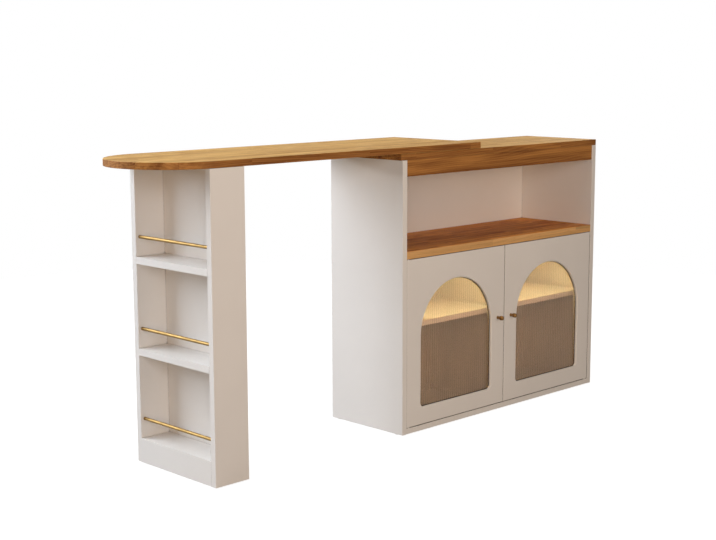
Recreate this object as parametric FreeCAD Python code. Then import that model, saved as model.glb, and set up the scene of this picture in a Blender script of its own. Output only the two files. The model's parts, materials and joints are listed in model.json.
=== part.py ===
import FreeCAD, Part
import math
import os

from FreeCAD import Vector

# A bar counter in two units: a cabinet with glazed doors under an open niche, and a narrow
# shelf tower on hidden casters. The tower carries a long top that slides over the cabinet.
# X runs along the counter towards the cabinet, -Y is the front and +Z is up.
# The origin is on the floor, in the middle of the whole counter with its top pulled out.

# ---------------------------------------------------------------- driving dimensions, mm

# Cabinet carcass
cabinet_width = 1000.0
cabinet_depth = 322.0
side_height = 872.0
side_thickness = 20.0
side_edge_radius = 1.0
glide_height = 2.0
glide_diameter = 18.0
glide_inset = 30.0
bottom_thickness = 18.0
back_thickness = 6.0
back_rebate = 8.0
divider_thickness = 18.0
divider_setback = 24.0
niche_height = 286.0
niche_shelf_thickness = 24.0
fascia_height = 51.0
fascia_thickness = 18.0
stretcher_height = 50.0
stretcher_thickness = 18.0

# Hidden joints: dowels and cam locks between boards
dowel_diameter = 8.0
dowel_length = 30.0
dowel_depth = 12.0
joint_depth = 9.0
joint_fit = 0.05
joint_front_inset = 96.0
joint_back_inset = 45.0
joint_spacing = 32.0
joint_step = 17.0
top_dowel_inset = 100.0
cam_diameter = 15.0
cam_thickness = 13.0
cam_distance = 34.0
cam_slot_length = 9.0
cam_slot_width = 2.0
cam_slot_depth = 2.5
bolt_diameter = 6.0
bolt_thread_length = 11.0
bolt_shank_length = 26.0
bolt_neck_diameter = 4.0
bolt_head_length = 3.0
bolt_play = 0.5

# Tops
top_inset = 3.5
top_overhang = 4.0
lower_top_thickness = 20.0
lower_top_back_inset = 3.5
top_edge_radius = 1.5
table_length = 1287.0
table_width = 392.0
table_thickness = 20.0
table_gap = 0.4

# Inner shelves and their pins
inner_shelf_thickness = 18.0
inner_shelf_setback = 40.0
inner_shelf_play = 1.0
shelf_hole_diameter = 5.0
shelf_hole_depth = 10.0
shelf_hole_pitch = 32.0
shelf_hole_count = 5
shelf_hole_first_height = 277.5
shelf_hole_front_inset = 77.0
shelf_hole_back_inset = 45.0
shelf_hole_used = 1
pin_reach = 9.0
pin_pad_width = 8.0
pin_pad_thickness = 2.5
pin_fit = 0.1

# Doors
door_thickness = 20.0
door_recess = 1.5
door_side_gap = 2.0
door_meeting_gap = 3.0
door_end_gap = 2.0
door_edge_radius = 1.5
window_side_margin = 65.0
window_bottom_margin = 56.0
window_height = 402.0
window_corner_radius = 15.0
window_edge_radius = 3.0
glass_setback = 9.0
glass_thickness = 5.0
glass_lap = 8.0
glass_play = 0.5
flute_pitch = 10.0
flute_depth = 0.6
bead_fit = 0.2
bead_reveal = 1.0
bead_chamfer = 2.0

# Door furniture
knob_inset = 33.0
knob_height = 297.0
knob_projection = 25.0
knob_diameter = 15.0
knob_cap_thickness = 9.0
knob_stem_diameter = 8.0
knob_foot_diameter = 12.0
knob_foot_thickness = 2.0
knob_crown_radius = 5.0
knob_rim_radius = 2.0
knob_neck_radius = 1.5
knob_bore_depth = 14.0
knob_screw_diameter = 4.0
knob_screw_head_diameter = 8.0
knob_screw_head_height = 2.5
pivot_edge_distance = 10.0
pivot_face_distance = 5.0
pivot_pin_diameter = 5.0
pivot_pin_depth = 8.0
pivot_plate_length = 46.0
pivot_plate_width = 7.0
pivot_plate_thickness = 2.5
pivot_fit = 0.05
pivot_bore_play = 0.5
washer_diameter = 9.0
washer_play = 0.2
catch_length = 44.0
catch_depth = 14.0
catch_height = 12.0
catch_offset = 16.0
catch_gap = 0.3
catch_edge_radius = 2.0
strike_length = 30.0
strike_height = 12.0
strike_thickness = 1.0

# Light channels under the niche shelf
light_width = 16.0
light_height = 9.0
light_wall = 1.2
light_end_margin = 40.0
light_setback = 60.0
light_bulge = 2.0
light_lens_depth = 3.0

# Sliding gear between the two tops
front_track_inset = 60.0
rear_track_inset = 262.0
track_width = 20.0
track_height = 9.0
track_wall = 1.5
track_slot = 9.0
track_stop_length = 10.0
track_stop_gap = 0.5
track_screw_count = 4
slide_length = 50.0
slide_inset = 35.0
slide_spacing = 250.0
slide_base_depth = 4.0
slide_play = 0.3
closed_gap = 2.0

# Tower
tower_gap = 631.0
tower_depth = 120.0
tower_width = 370.0
table_end_overhang = 166.0
tower_panel = 20.0
tower_back_thickness = 18.0
tower_floor_gap = 3.0
tower_shelf_thickness = 20.0
tower_lowest_shelf_top = 76.0
tower_shelf_spacing = 271.5
tower_edge_radius = 1.0
plinth_thickness = 18.0
rail_diameter = 10.0
rail_height = 58.0
rail_inset = 14.0
rail_seat_depth = 8.0
rail_fit = 0.05
tower_shelf_joint_insets = (30.0, 75.0)
tower_back_joint_inset = 60.0
tower_back_joint_count = 3
bracket_leg = 20.0
bracket_width = 16.0
bracket_thickness = 2.0
bracket_inset = 22.0

# Casters
wheel_diameter = 40.0
wheel_width = 16.0
wheel_edge_radius = 3.0
wheel_hub_recess = 2.0
wheel_web_radius = 13.0
axle_diameter = 6.0
axle_fit = 0.05
axle_head_diameter = 9.0
axle_head_thickness = 1.5
caster_inset = 40.0
fork_play = 1.0
fork_thickness = 2.0
fork_length = 30.0
fork_plate_length = 60.0
fork_nose_radius = 8.0
fork_screw_spacing = 45.0

# Fasteners
screw_diameter = 3.5
screw_length = 14.0
screw_head_diameter = 7.0
screw_head_height = 2.0
small_screw_length = 9.0
slide_screw_length = 18.0
screw_fit = 0.05

# ---------------------------------------------------------------- derived places

# Along X: everything is placed from the cabinet's left side
table_reach = tower_gap + tower_depth + table_end_overhang
x_left = (table_reach - cabinet_width - top_overhang) / 2
x_right = x_left + cabinet_width
x_middle = (x_left + x_right) / 2
x_inside_left = x_left + side_thickness
x_inside_right = x_right - side_thickness
x_divider_left = x_middle - divider_thickness / 2
x_table_end = x_left - table_reach
x_tower_front = x_table_end + table_end_overhang
x_tower_back = x_tower_front + tower_depth
travel = tower_gap - top_overhang - closed_gap

# Along Y: depths are measured back from the front edges of the cabinet's sides
front_reach = knob_projection - door_recess
back_reach = top_inset + table_width
y_front = (front_reach - back_reach) / 2
y_back = y_front + cabinet_depth
y_inside_back = y_back - back_thickness
y_tops = y_front + top_inset
y_door = y_front + door_recess
y_door_back = y_door + door_thickness
y_glass = y_door + glass_setback
y_tower_far = y_front + tower_width

# Along Z
z_carcass = glide_height
z_floor = z_carcass + bottom_thickness
z_sides_top = z_carcass + side_height
z_niche = z_sides_top - niche_height
z_niche_under = z_niche - niche_shelf_thickness
z_lower_top = z_sides_top + lower_top_thickness
z_table = z_lower_top + table_gap
z_door_bottom = z_floor + door_end_gap
z_door_top = z_niche_under - door_end_gap

# Doors
door_width = (x_inside_right - x_inside_left - 2 * door_side_gap - door_meeting_gap) / 2
x_door = x_inside_left + door_side_gap
x_window = x_door + door_width / 2
window_width = door_width - 2 * window_side_margin
z_window = z_door_bottom + window_bottom_margin
z_window_top = z_window + window_height
x_knob = x_door + door_width - knob_inset
z_knob = z_door_bottom + knob_height
x_pivot = x_door + pivot_edge_distance
y_pivot = y_door + pivot_face_distance

# Tower shelves, lowest first
tower_shelf_names = ("tower_bottom_shelf", "tower_middle_shelf", "tower_upper_shelf")
tower_shelf_tops = [tower_lowest_shelf_top + n * tower_shelf_spacing for n in range(len(tower_shelf_names))]
y_tower_inside = y_front + tower_panel
y_tower_inside_far = y_tower_far - tower_panel
x_tower_inside_back = x_tower_back - tower_back_thickness

# Slide blocks sit on the lower top, and the tracks reach as far as the travel needs
x_first_slide = x_left - top_overhang + slide_inset
x_slides = [x_first_slide, x_first_slide + slide_spacing]
stop_reach = slide_length / 2 + track_stop_gap + track_stop_length
x_track_left = x_slides[0] - travel - stop_reach
x_track_right = x_slides[1] + stop_reach
y_tracks = {"front": y_front + front_track_inset, "rear": y_front + rear_track_inset}

UP = Vector(0, 0, 1)
DOWN = Vector(0, 0, -1)
TO_RIGHT = Vector(1, 0, 0)
TO_LEFT = Vector(-1, 0, 0)
TO_BACK = Vector(0, 1, 0)
TO_FRONT = Vector(0, -1, 0)
SMALL = 0.001


# ---------------------------------------------------------------- helpers

def board(x0, x1, y0, y1, z0, z1):
    return Part.makeBox(x1 - x0, y1 - y0, z1 - z0, Vector(x0, y0, z0))


def rod(diameter, length, start, direction):
    return Part.makeCylinder(diameter / 2, length, start, direction)


def outline_face(points):
    return Part.Face(Part.makePolygon(points + [points[0]]))


def rounded(shape, radius, chosen):
    """Round the edges of shape that chosen(bounding box) picks."""
    edges = [edge for edge in shape.Edges if chosen(edge.BoundBox)]
    return shape.makeFillet(radius, edges)


def upright_at(y):
    """Pick long upright edges that lie at the given depth."""
    def chosen(box):
        return abs(box.YMin - y) < SMALL and abs(box.YMax - y) < SMALL and box.XLength < SMALL
    return chosen


def upright_along(x):
    """Pick long upright edges that lie at the given place along the counter."""
    def chosen(box):
        return abs(box.XMin - x) < SMALL and abs(box.XMax - x) < SMALL and box.YLength < SMALL
    return chosen


def long_front_edge(y):
    """Pick the long level edges of a shelf's front, at the given depth."""
    def chosen(box):
        return box.YMax < y + SMALL and box.XLength > side_thickness
    return chosen


def ring_at(y, radius):
    """Pick the circle of the given radius about a front-to-back axis at the given depth."""
    def chosen(box):
        return abs(box.YMin - y) < SMALL and box.YLength < SMALL and abs(box.XLength - 2 * radius) < SMALL
    return chosen


def level_at(*heights):
    """Pick edges that lie flat at one of the given heights."""
    def chosen(box):
        return any(abs(box.ZMin - z) < SMALL and abs(box.ZMax - z) < SMALL for z in heights)
    return chosen


def stadium(x0, x1, y, width, z0, z1):
    """A flat bar with half-round ends, as a router cuts it, from z0 to z1."""
    radius = width / 2
    near = y - radius
    far = y + radius
    left = x0 + radius
    right = x1 - radius
    wire = Part.Wire([
        Part.makeLine(Vector(left, near, z0), Vector(right, near, z0)),
        Part.Arc(Vector(right, near, z0), Vector(x1, y, z0), Vector(right, far, z0)).toShape(),
        Part.makeLine(Vector(right, far, z0), Vector(left, far, z0)),
        Part.Arc(Vector(left, far, z0), Vector(x0, y, z0), Vector(left, near, z0)).toShape(),
    ])
    return Part.Face(wire).extrude(Vector(0, 0, z1 - z0))


def turned(profile, start, direction):
    """Revolve (radius, distance along direction) points about the axis from start."""
    side = TO_RIGHT if abs(direction.x) < 0.5 else UP
    points = [start + side * radius + direction * along for radius, along in profile]
    return outline_face(points).revolve(start, direction, 360)


def pan_screw(start, direction, length, grow=0.0):
    """A screw whose head sits on the surface at start and whose shank runs along direction."""
    head = rod(screw_head_diameter, screw_head_height, start - direction * screw_head_height, direction)
    shank = rod(screw_diameter + 2 * grow, length + grow, start, direction)
    return head.fuse(shank).removeSplitter()


def flush_screw(start, direction, length, grow=0.0):
    """A countersunk screw: start is the middle of its flat head."""
    head = screw_head_diameter / 2 + grow
    shank = screw_diameter / 2 + grow
    cone = head - shank
    profile = [(0, 0), (head, 0), (shank, cone), (shank, length + grow), (0, length + grow)]
    return turned(profile, start, direction)


def mirrored(shape):
    """The right door's copy of a left door's piece."""
    return shape.mirror(Vector(x_middle, 0, 0), TO_RIGHT)


def save(name, *solids):
    shape = solids[0] if len(solids) == 1 else Part.makeCompound(list(solids))
    shape.exportStep("parts/" + name + ".step")


# ---------------------------------------------------------------- hidden joints

def block(corner, opposite):
    """The block between two opposite corners."""
    return board(min(corner.x, opposite.x), max(corner.x, opposite.x),
                 min(corner.y, opposite.y), max(corner.y, opposite.y),
                 min(corner.z, opposite.z), max(corner.z, opposite.z))


def dowel(place, into, grow=0.0):
    """A dowel across the joint at place: its short end lies behind, its long end in the board."""
    start = place - into * (dowel_depth + grow)
    return rod(dowel_diameter + 2 * grow, dowel_length + 2 * grow, start, into)


def cam_bolt(place, into):
    """The bolt of a cam lock: driven into the upright, with its head held by the cam."""
    body = bolt_diameter / 2
    neck = bolt_neck_diameter / 2
    profile = [
        (0, -bolt_thread_length), (body, -bolt_thread_length), (body, bolt_shank_length),
        (neck, bolt_shank_length), (neck, cam_distance - bolt_head_length),
        (body, cam_distance - bolt_head_length), (body, cam_distance), (0, cam_distance),
    ]
    return turned(profile, place, into)


def cam(place, into, face):
    """The cam of a lock: a slotted disc let into a board's hidden face."""
    seat = place + into * cam_distance
    outer = seat + face * joint_depth
    cuts = [
        rod(bolt_neck_diameter + 2 * bolt_play, cam_diameter, seat, -into),
        rod(bolt_diameter + 2 * bolt_play, bolt_head_length + 2 * bolt_play, seat + into * bolt_play, -into),
    ]
    across = into.cross(face)
    for along, aside in ((into, across), (across, into)):
        reach = along * (cam_slot_length / 2) + aside * (cam_slot_width / 2)
        cuts.append(block(outer + reach, outer - reach - face * cam_slot_depth))
    return rod(cam_diameter, cam_thickness, outer, -face).cut(cuts)


def lock_bores(place, into, face):
    """What a cam lock takes out of its two boards."""
    outer = place + into * cam_distance + face * joint_depth
    return [
        rod(bolt_diameter + 2 * joint_fit, bolt_thread_length, place, -into),
        rod(bolt_diameter + 2 * bolt_play, cam_distance, place, into),
        rod(cam_diameter + 2 * joint_fit, cam_thickness, outer, -face),
    ]


def cabinet_locks():
    """(board, place, direction into the board, face that shows the cam) of each cam lock."""
    y_rows = (y_front + joint_front_inset, y_inside_back - joint_back_inset)
    y_fascia = y_tops + fascia_thickness - joint_depth
    y_stretcher = y_inside_back - stretcher_thickness + joint_depth
    z_fascia = z_sides_top - fascia_height / 2
    z_stretcher = z_sides_top - stretcher_height / 2
    locks = []
    for x, into in ((x_inside_left, TO_RIGHT), (x_inside_right, TO_LEFT)):
        for name, under in (("bottom_panel", z_carcass), ("niche_shelf", z_niche_under)):
            locks.extend((name, Vector(x, y, under + joint_depth), into, DOWN) for y in y_rows)
        locks.append(("fascia", Vector(x, y_fascia, z_fascia), into, TO_BACK))
        locks.append(("rear_stretcher", Vector(x, y_stretcher, z_stretcher), into, TO_FRONT))
    return locks


def cabinet_dowels():
    """(board, board, place, direction into the second board) of each dowel in the cabinet."""
    dowels = []
    for name, place, into, face in cabinet_locks():
        side = "left_side" if into.x > 0 else "right_side"
        if face == DOWN:
            inward = joint_spacing if place.y < (y_front + y_back) / 2 else -joint_spacing
            dowels.append((side, name, place + TO_BACK * inward, into))
        else:
            dowels.extend((side, name, place + UP * step, into) for step in (-joint_step, joint_step))
    for y in (y_front + top_dowel_inset, y_back - top_dowel_inset):
        dowels.append(("lower_top", "left_side", Vector(x_left + side_thickness / 2, y, z_sides_top), DOWN))
        dowels.append(("lower_top", "right_side", Vector(x_right - side_thickness / 2, y, z_sides_top), DOWN))
        dowels.append(("bottom_panel", "centre_divider", Vector(x_middle, y, z_floor), UP))
        dowels.append(("niche_shelf", "centre_divider", Vector(x_middle, y, z_niche_under), DOWN))
    return dowels


def tower_dowels():
    """(board, board, place, direction into the second board) of each dowel in the tower."""
    x_back = x_tower_back - tower_back_thickness / 2
    run = z_table - tower_floor_gap - 2 * tower_back_joint_inset
    ends = {"tower_front_side": (y_tower_inside, TO_BACK), "tower_rear_side": (y_tower_inside_far, TO_FRONT)}
    dowels = []
    for side, (y, into) in ends.items():
        for number, name in enumerate(tower_shelf_names):
            z = tower_shelf_tops[number] - tower_shelf_thickness / 2
            for inset in tower_shelf_joint_insets:
                dowels.append((side, name, Vector(x_tower_front + inset, y, z), into))
        for number in range(tower_back_joint_count):
            z = tower_floor_gap + tower_back_joint_inset + run * number / (tower_back_joint_count - 1)
            dowels.append((side, "tower_back", Vector(x_back, y, z), into))
        z = (tower_floor_gap + tower_shelf_under(0)) / 2
        dowels.append((side, "tower_plinth", Vector(x_tower_front + plinth_thickness / 2, y, z), into))
    return dowels


def jointed(name, shape):
    """The named board with the bores for its dowels and cam locks."""
    bores = []
    for first, second, place, into in cabinet_dowels() + tower_dowels():
        if name in (first, second):
            bores.append(dowel(place, into, joint_fit))
    for panel, place, into, face in cabinet_locks():
        side = "left_side" if into.x > 0 else "right_side"
        if name in (panel, side):
            bores.extend(lock_bores(place, into, face))
    return shape.cut(bores)


def save_board(name, shape):
    save(name, jointed(name, shape))


def make_joints():
    save("carcass_dowels", *[dowel(place, into) for _, _, place, into in cabinet_dowels()])
    save("tower_dowels", *[dowel(place, into) for _, _, place, into in tower_dowels()])
    fittings = []
    for _, place, into, face in cabinet_locks():
        fittings.append(cam(place, into, face))
        fittings.append(cam_bolt(place, into))
    save("cam_fittings", *fittings)


# ---------------------------------------------------------------- cabinet carcass

def shelf_holes(x, direction, depth):
    """Two upright rows of holes for shelf pins, bored from x along direction."""
    holes = []
    for y in (y_front + shelf_hole_front_inset, y_inside_back - shelf_hole_back_inset):
        for number in range(shelf_hole_count):
            start = Vector(x, y, shelf_hole_z(number))
            holes.append(rod(shelf_hole_diameter, depth, start, direction))
    return holes


def shelf_hole_z(number):
    return z_floor + shelf_hole_first_height + number * shelf_hole_pitch


def side_panel(x0, x1, inside, inward):
    """A side with its hole rows and the rebate that takes the back panel."""
    panel = board(x0, x1, y_front, y_back, z_carcass, z_sides_top)
    panel = rounded(panel, side_edge_radius, upright_at(y_front))
    hidden = inside - inward.x * back_rebate
    rebate = board(min(inside, hidden), max(inside, hidden), y_inside_back, y_back, z_carcass, z_sides_top)
    start = inside - inward.x * shelf_hole_depth
    return panel.cut([rebate] + shelf_holes(start, inward, shelf_hole_depth))


def make_carcass():
    save_board("left_side", side_panel(x_left, x_inside_left, x_inside_left, TO_RIGHT))
    save_board("right_side", side_panel(x_inside_right, x_right, x_inside_right, TO_LEFT))

    bottom = board(x_inside_left, x_inside_right, y_door, y_inside_back, z_carcass, z_floor)
    recess = pivot_recess(z_floor, DOWN)
    save_board("bottom_panel", bottom.cut([recess, mirrored(recess)]))

    save("back_panel", board(x_inside_left - back_rebate, x_inside_right + back_rebate,
                             y_inside_back, y_back, z_carcass, z_sides_top))

    divider = board(x_divider_left, x_divider_left + divider_thickness,
                    y_front + divider_setback, y_inside_back, z_floor, z_niche_under)
    save_board("centre_divider", divider.cut(shelf_holes(x_divider_left, TO_RIGHT, divider_thickness)))

    shelf = board(x_inside_left, x_inside_right, y_door, y_inside_back, z_niche_under, z_niche)
    shelf = rounded(shelf, side_edge_radius, long_front_edge(y_door))
    recess = pivot_recess(z_niche_under, UP)
    save_board("niche_shelf", shelf.cut([recess, mirrored(recess)]))

    save_board("fascia", board(x_inside_left, x_inside_right, y_tops, y_tops + fascia_thickness,
                               z_sides_top - fascia_height, z_sides_top))
    save_board("rear_stretcher", board(x_inside_left, x_inside_right, y_inside_back - stretcher_thickness,
                                       y_inside_back, z_sides_top - stretcher_height, z_sides_top))


def make_lower_top():
    top = board(x_left - top_overhang, x_right + top_overhang,
                y_tops, y_back - lower_top_back_inset, z_sides_top, z_lower_top)
    top = rounded(top, top_edge_radius, level_at(z_sides_top, z_lower_top))
    cuts = []
    half = slide_length / 2
    base = (track_width - 2 * track_wall) / 2 - slide_play
    z_seat = z_lower_top - slide_base_depth
    for y in y_tracks.values():
        for x in x_slides:
            cuts.append(board(x - half, x + half, y - base, y + base, z_seat, z_lower_top))
            cuts.append(slide_screw(x, y, screw_fit))
    save_board("lower_top", top.cut(cuts))


def make_inner_shelves():
    depth_start = y_front + inner_shelf_setback
    depth_end = y_inside_back - inner_shelf_play
    under = shelf_hole_z(shelf_hole_used) + shelf_hole_diameter / 2
    spans = {
        "left": (x_inside_left, x_divider_left),
        "right": (x_divider_left + divider_thickness, x_inside_right),
    }
    pins = []
    for side, (x0, x1) in spans.items():
        shelf = board(x0 + inner_shelf_play, x1 - inner_shelf_play, depth_start, depth_end,
                      under, under + inner_shelf_thickness)
        save(side + "_inner_shelf", rounded(shelf, side_edge_radius, long_front_edge(depth_start)))
        for y in (y_front + shelf_hole_front_inset, y_inside_back - shelf_hole_back_inset):
            pins.append(shelf_pin(x0, y, TO_RIGHT))
            pins.append(shelf_pin(x1, y, TO_LEFT))
    save("shelf_pins", *pins)


def shelf_pin(x, y, outward):
    """A steel pin pushed into a panel, with a flat pad under the shelf."""
    z = shelf_hole_z(shelf_hole_used)
    seat = shelf_hole_depth - pin_reach
    start = Vector(x, y, z) - outward * (shelf_hole_depth - 2 * seat)
    shaft_diameter = shelf_hole_diameter - 2 * pin_fit
    shaft = rod(shaft_diameter, shelf_hole_depth - 2 * seat + pin_reach, start, outward)
    tip = x + outward.x * pin_reach
    top = z + shelf_hole_diameter / 2
    pad = board(min(x, tip), max(x, tip), y - pin_pad_width / 2, y + pin_pad_width / 2,
                top - pin_pad_thickness, top)
    return shaft.fuse(pad).removeSplitter()


def make_glides():
    glides = []
    for x in (x_left + side_thickness / 2, x_middle, x_right - side_thickness / 2):
        for y in (y_front + glide_inset, y_back - glide_inset):
            glides.append(rod(glide_diameter, glide_height, Vector(x, y, 0), UP))
    save("foot_glides", *glides)


def make_lights():
    """A shallow channel and its curved lens in the head of each cupboard half."""
    spans = {
        "left": (x_inside_left, x_divider_left),
        "right": (x_divider_left + divider_thickness, x_inside_right),
    }
    y = y_front + light_setback
    half = light_width / 2
    top = z_niche_under
    under = top - light_height
    inner = half - light_wall
    for side, (x0, x1) in spans.items():
        start = x0 + light_end_margin
        run = Vector(x1 - x0 - 2 * light_end_margin, 0, 0)
        channel = outline_face([
            Vector(start, y - half, under), Vector(start, y - half, top),
            Vector(start, y + half, top), Vector(start, y + half, under),
            Vector(start, y + inner, under), Vector(start, y + inner, top - light_wall),
            Vector(start, y - inner, top - light_wall), Vector(start, y - inner, under),
        ])
        save(side + "_light_channel", channel.extrude(run))
        inside = under + light_lens_depth
        lens = Part.Wire([
            Part.makeLine(Vector(start, y - inner, under), Vector(start, y - inner, inside)),
            Part.makeLine(Vector(start, y - inner, inside), Vector(start, y + inner, inside)),
            Part.makeLine(Vector(start, y + inner, inside), Vector(start, y + inner, under)),
            Part.Arc(Vector(start, y + inner, under), Vector(start, y, under - light_bulge),
                     Vector(start, y - inner, under)).toShape(),
        ])
        save(side + "_light_lens", Part.Face(lens).extrude(run))


# ---------------------------------------------------------------- doors

def arch_prism(grow, y0, y1):
    """The window's shape, grown all round: a square foot and a half-round head."""
    radius = window_width / 2 + grow
    corner = window_corner_radius + grow
    left = x_window - radius
    right = x_window + radius
    foot = z_window - grow
    spring = z_window_top - window_width / 2
    bend = corner * (1 - math.sqrt(0.5))
    wire = Part.Wire([
        Part.makeLine(Vector(left + corner, y0, foot), Vector(right - corner, y0, foot)),
        Part.Arc(Vector(right - corner, y0, foot), Vector(right - bend, y0, foot + bend),
                 Vector(right, y0, foot + corner)).toShape(),
        Part.makeLine(Vector(right, y0, foot + corner), Vector(right, y0, spring)),
        Part.Arc(Vector(right, y0, spring), Vector(x_window, y0, spring + radius),
                 Vector(left, y0, spring)).toShape(),
        Part.makeLine(Vector(left, y0, spring), Vector(left, y0, foot + corner)),
        Part.Arc(Vector(left, y0, foot + corner), Vector(left + bend, y0, foot + bend),
                 Vector(left + corner, y0, foot)).toShape(),
    ])
    return Part.Face(wire).extrude(Vector(0, y1 - y0, 0))


def pivot_plate(z, into, grow=0.0):
    """The flat plate of a pivot hinge, let into a surface at height z."""
    x0 = x_pivot - pivot_plate_width / 2 - grow
    deep = z + into.z * pivot_plate_thickness
    return stadium(x0, x0 + pivot_plate_length + 2 * grow, y_pivot, pivot_plate_width + 2 * grow,
                   min(z, deep), max(z, deep))


def pivot_recess(z, into):
    return pivot_plate(z, into, pivot_fit)


def pivot_pin_plate(z, into):
    """The carcass half of a pivot: plate and riveted pin, standing out of the surface."""
    length = pivot_plate_thickness + door_end_gap + pivot_pin_depth
    pin = rod(pivot_pin_diameter, length, Vector(x_pivot, y_pivot, z) + into * pivot_plate_thickness, -into)
    return pivot_plate(z, into).fuse(pin).removeSplitter()


def pivot_bore(z, into, diameter, depth):
    return rod(diameter, depth, Vector(x_pivot, y_pivot, z), into)


def door_pivot_plate(z, into):
    bore = pivot_bore(z, into, pivot_pin_diameter + 2 * pivot_fit, pivot_plate_thickness)
    return pivot_plate(z, into).cut(bore)


def make_door_panel():
    """The painted panel: rounded edges, arched window, glass rebate and pivot seats."""
    panel = board(x_door, x_door + door_width, y_door, y_door_back, z_door_bottom, z_door_top)
    panel = rounded(panel, door_edge_radius, lambda box: box.YMax < y_door + SMALL)
    panel = panel.cut(arch_prism(0, y_door, y_door_back))

    def window_edge(box):
        right_of = box.XMin > x_door + door_edge_radius + SMALL
        left_of = box.XMax < x_door + door_width - door_edge_radius
        above = box.ZMin > z_door_bottom + door_edge_radius + SMALL
        below = box.ZMax < z_window_top + SMALL
        return box.YMax < y_door + SMALL and right_of and left_of and above and below

    panel = rounded(panel, window_edge_radius, window_edge)
    cuts = [arch_prism(glass_lap, y_glass, y_door_back)]
    for z, into in ((z_door_bottom, UP), (z_door_top, DOWN)):
        cuts.append(pivot_recess(z, into))
        bore = pivot_pin_diameter + 2 * pivot_bore_play
        cuts.append(pivot_bore(z, into, bore, pivot_pin_depth + pivot_bore_play))
    start = Vector(x_knob, y_door_back, z_knob)
    cuts.append(rod(knob_screw_diameter + 2 * screw_fit, door_thickness, start, TO_FRONT))
    cuts.append(strike_plate())
    return panel.cut(cuts)


def make_glass():
    """A pane with half-round reeds on its face, cut to the arch."""
    half = window_width / 2 + glass_lap
    count = 2 * math.ceil(half / flute_pitch)
    valley = y_glass + flute_depth
    back = y_glass + glass_thickness
    foot = z_window - glass_lap
    x_start = x_window - count * flute_pitch / 2
    x_end = x_start + count * flute_pitch
    edges = []
    for number in range(count):
        x0 = x_start + number * flute_pitch
        reed = Part.Arc(Vector(x0, valley, foot), Vector(x0 + flute_pitch / 2, y_glass, foot),
                        Vector(x0 + flute_pitch, valley, foot))
        edges.append(reed.toShape())
    edges.append(Part.makeLine(Vector(x_end, valley, foot), Vector(x_end, back, foot)))
    edges.append(Part.makeLine(Vector(x_end, back, foot), Vector(x_start, back, foot)))
    edges.append(Part.makeLine(Vector(x_start, back, foot), Vector(x_start, valley, foot)))
    sheet = Part.Face(Part.Wire(edges)).extrude(Vector(0, 0, window_height + 2 * glass_lap))
    return sheet.common(arch_prism(glass_lap - glass_play, y_glass, back))


def make_bead():
    """The strip that holds the glass in, mitred off on its inner back edge."""
    y0 = y_glass + glass_thickness
    strip = arch_prism(glass_lap - bead_fit, y0, y_door_back).cut(arch_prism(bead_reveal, y0, y_door_back))
    inner = [edge for edge in strip.Edges
             if edge.BoundBox.YMin > y_door_back - SMALL and inside_reveal(edge.BoundBox)]
    return strip.makeChamfer(bead_chamfer, inner)


def inside_reveal(box):
    reach = window_width / 2 + bead_reveal + SMALL
    across = box.XMin > x_window - reach and box.XMax < x_window + reach
    return across and box.ZMin > z_window - bead_reveal - SMALL and box.ZMax < z_window_top + bead_reveal + SMALL


def make_knob():
    """A small turned knob: foot, slim neck and a domed cap."""
    foot = knob_foot_diameter / 2
    neck = knob_stem_diameter / 2
    cap = knob_diameter / 2
    shoulder = knob_projection - knob_cap_thickness
    base = Vector(x_knob, y_door, z_knob)
    profile = [
        (0, 0), (foot, 0), (foot, knob_foot_thickness), (neck, knob_foot_thickness),
        (neck, shoulder), (cap, shoulder), (cap, knob_projection), (0, knob_projection),
    ]
    knob = turned(profile, base, TO_FRONT)
    for along, radius, rounding in (
            (knob_projection, cap, knob_crown_radius),
            (shoulder, cap, knob_rim_radius),
            (knob_foot_thickness, neck, knob_neck_radius)):
        knob = rounded(knob, rounding, ring_at(y_door - along, radius))
    return knob.cut(rod(knob_screw_diameter + 2 * screw_fit, knob_bore_depth, base, TO_FRONT))


def make_knob_screw():
    start = Vector(x_knob, y_door_back, z_knob)
    head = rod(knob_screw_head_diameter, knob_screw_head_height, start, TO_BACK)
    length = door_thickness + knob_bore_depth - knob_foot_thickness
    shank = rod(knob_screw_diameter, length, start, TO_FRONT)
    return head.fuse(shank).removeSplitter()


def strike_plate():
    """The steel plate flush in the door's back, opposite the magnet."""
    x1 = x_middle - catch_offset - (catch_length - strike_length) / 2
    z1 = z_niche_under - (catch_height - strike_height) / 2 - door_end_gap - strike_thickness
    return board(x1 - strike_length, x1, y_door_back - strike_thickness, y_door_back, z1 - strike_height, z1)


def make_catch():
    x1 = x_middle - catch_offset
    y0 = y_door_back + catch_gap
    body = board(x1 - catch_length, x1, y0, y0 + catch_depth, z_niche_under - catch_height, z_niche_under)

    def lower_back_edge(box):
        return box.ZLength < SMALL and box.ZMax < z_niche_under - SMALL and box.YMin > y0 + SMALL

    return rounded(body, catch_edge_radius, lower_back_edge)


def make_doors():
    washer = rod(washer_diameter, door_end_gap, Vector(x_pivot, y_pivot, z_floor), UP)
    washer = washer.cut(rod(pivot_pin_diameter + 2 * washer_play, door_end_gap,
                            Vector(x_pivot, y_pivot, z_floor), UP))
    pin_plates = [pivot_pin_plate(z_floor, DOWN), pivot_pin_plate(z_niche_under, UP)]
    save("pivot_pins", *pin_plates, *[mirrored(plate) for plate in pin_plates])
    save("pivot_washers", washer, mirrored(washer))
    catch = make_catch()
    save("magnet_catches", catch, mirrored(catch))

    plates = Part.makeCompound([door_pivot_plate(z_door_bottom, UP), door_pivot_plate(z_door_top, DOWN)])
    pieces = {
        "door_panel": make_door_panel(),
        "door_glass": make_glass(),
        "glass_bead": make_bead(),
        "knob": make_knob(),
        "knob_screw": make_knob_screw(),
        "pivot_plates": plates,
        "strike_plate": strike_plate(),
    }
    for name, shape in pieces.items():
        save("left_" + name, shape)
        save("right_" + name, mirrored(shape))


# ---------------------------------------------------------------- sliding gear

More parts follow.
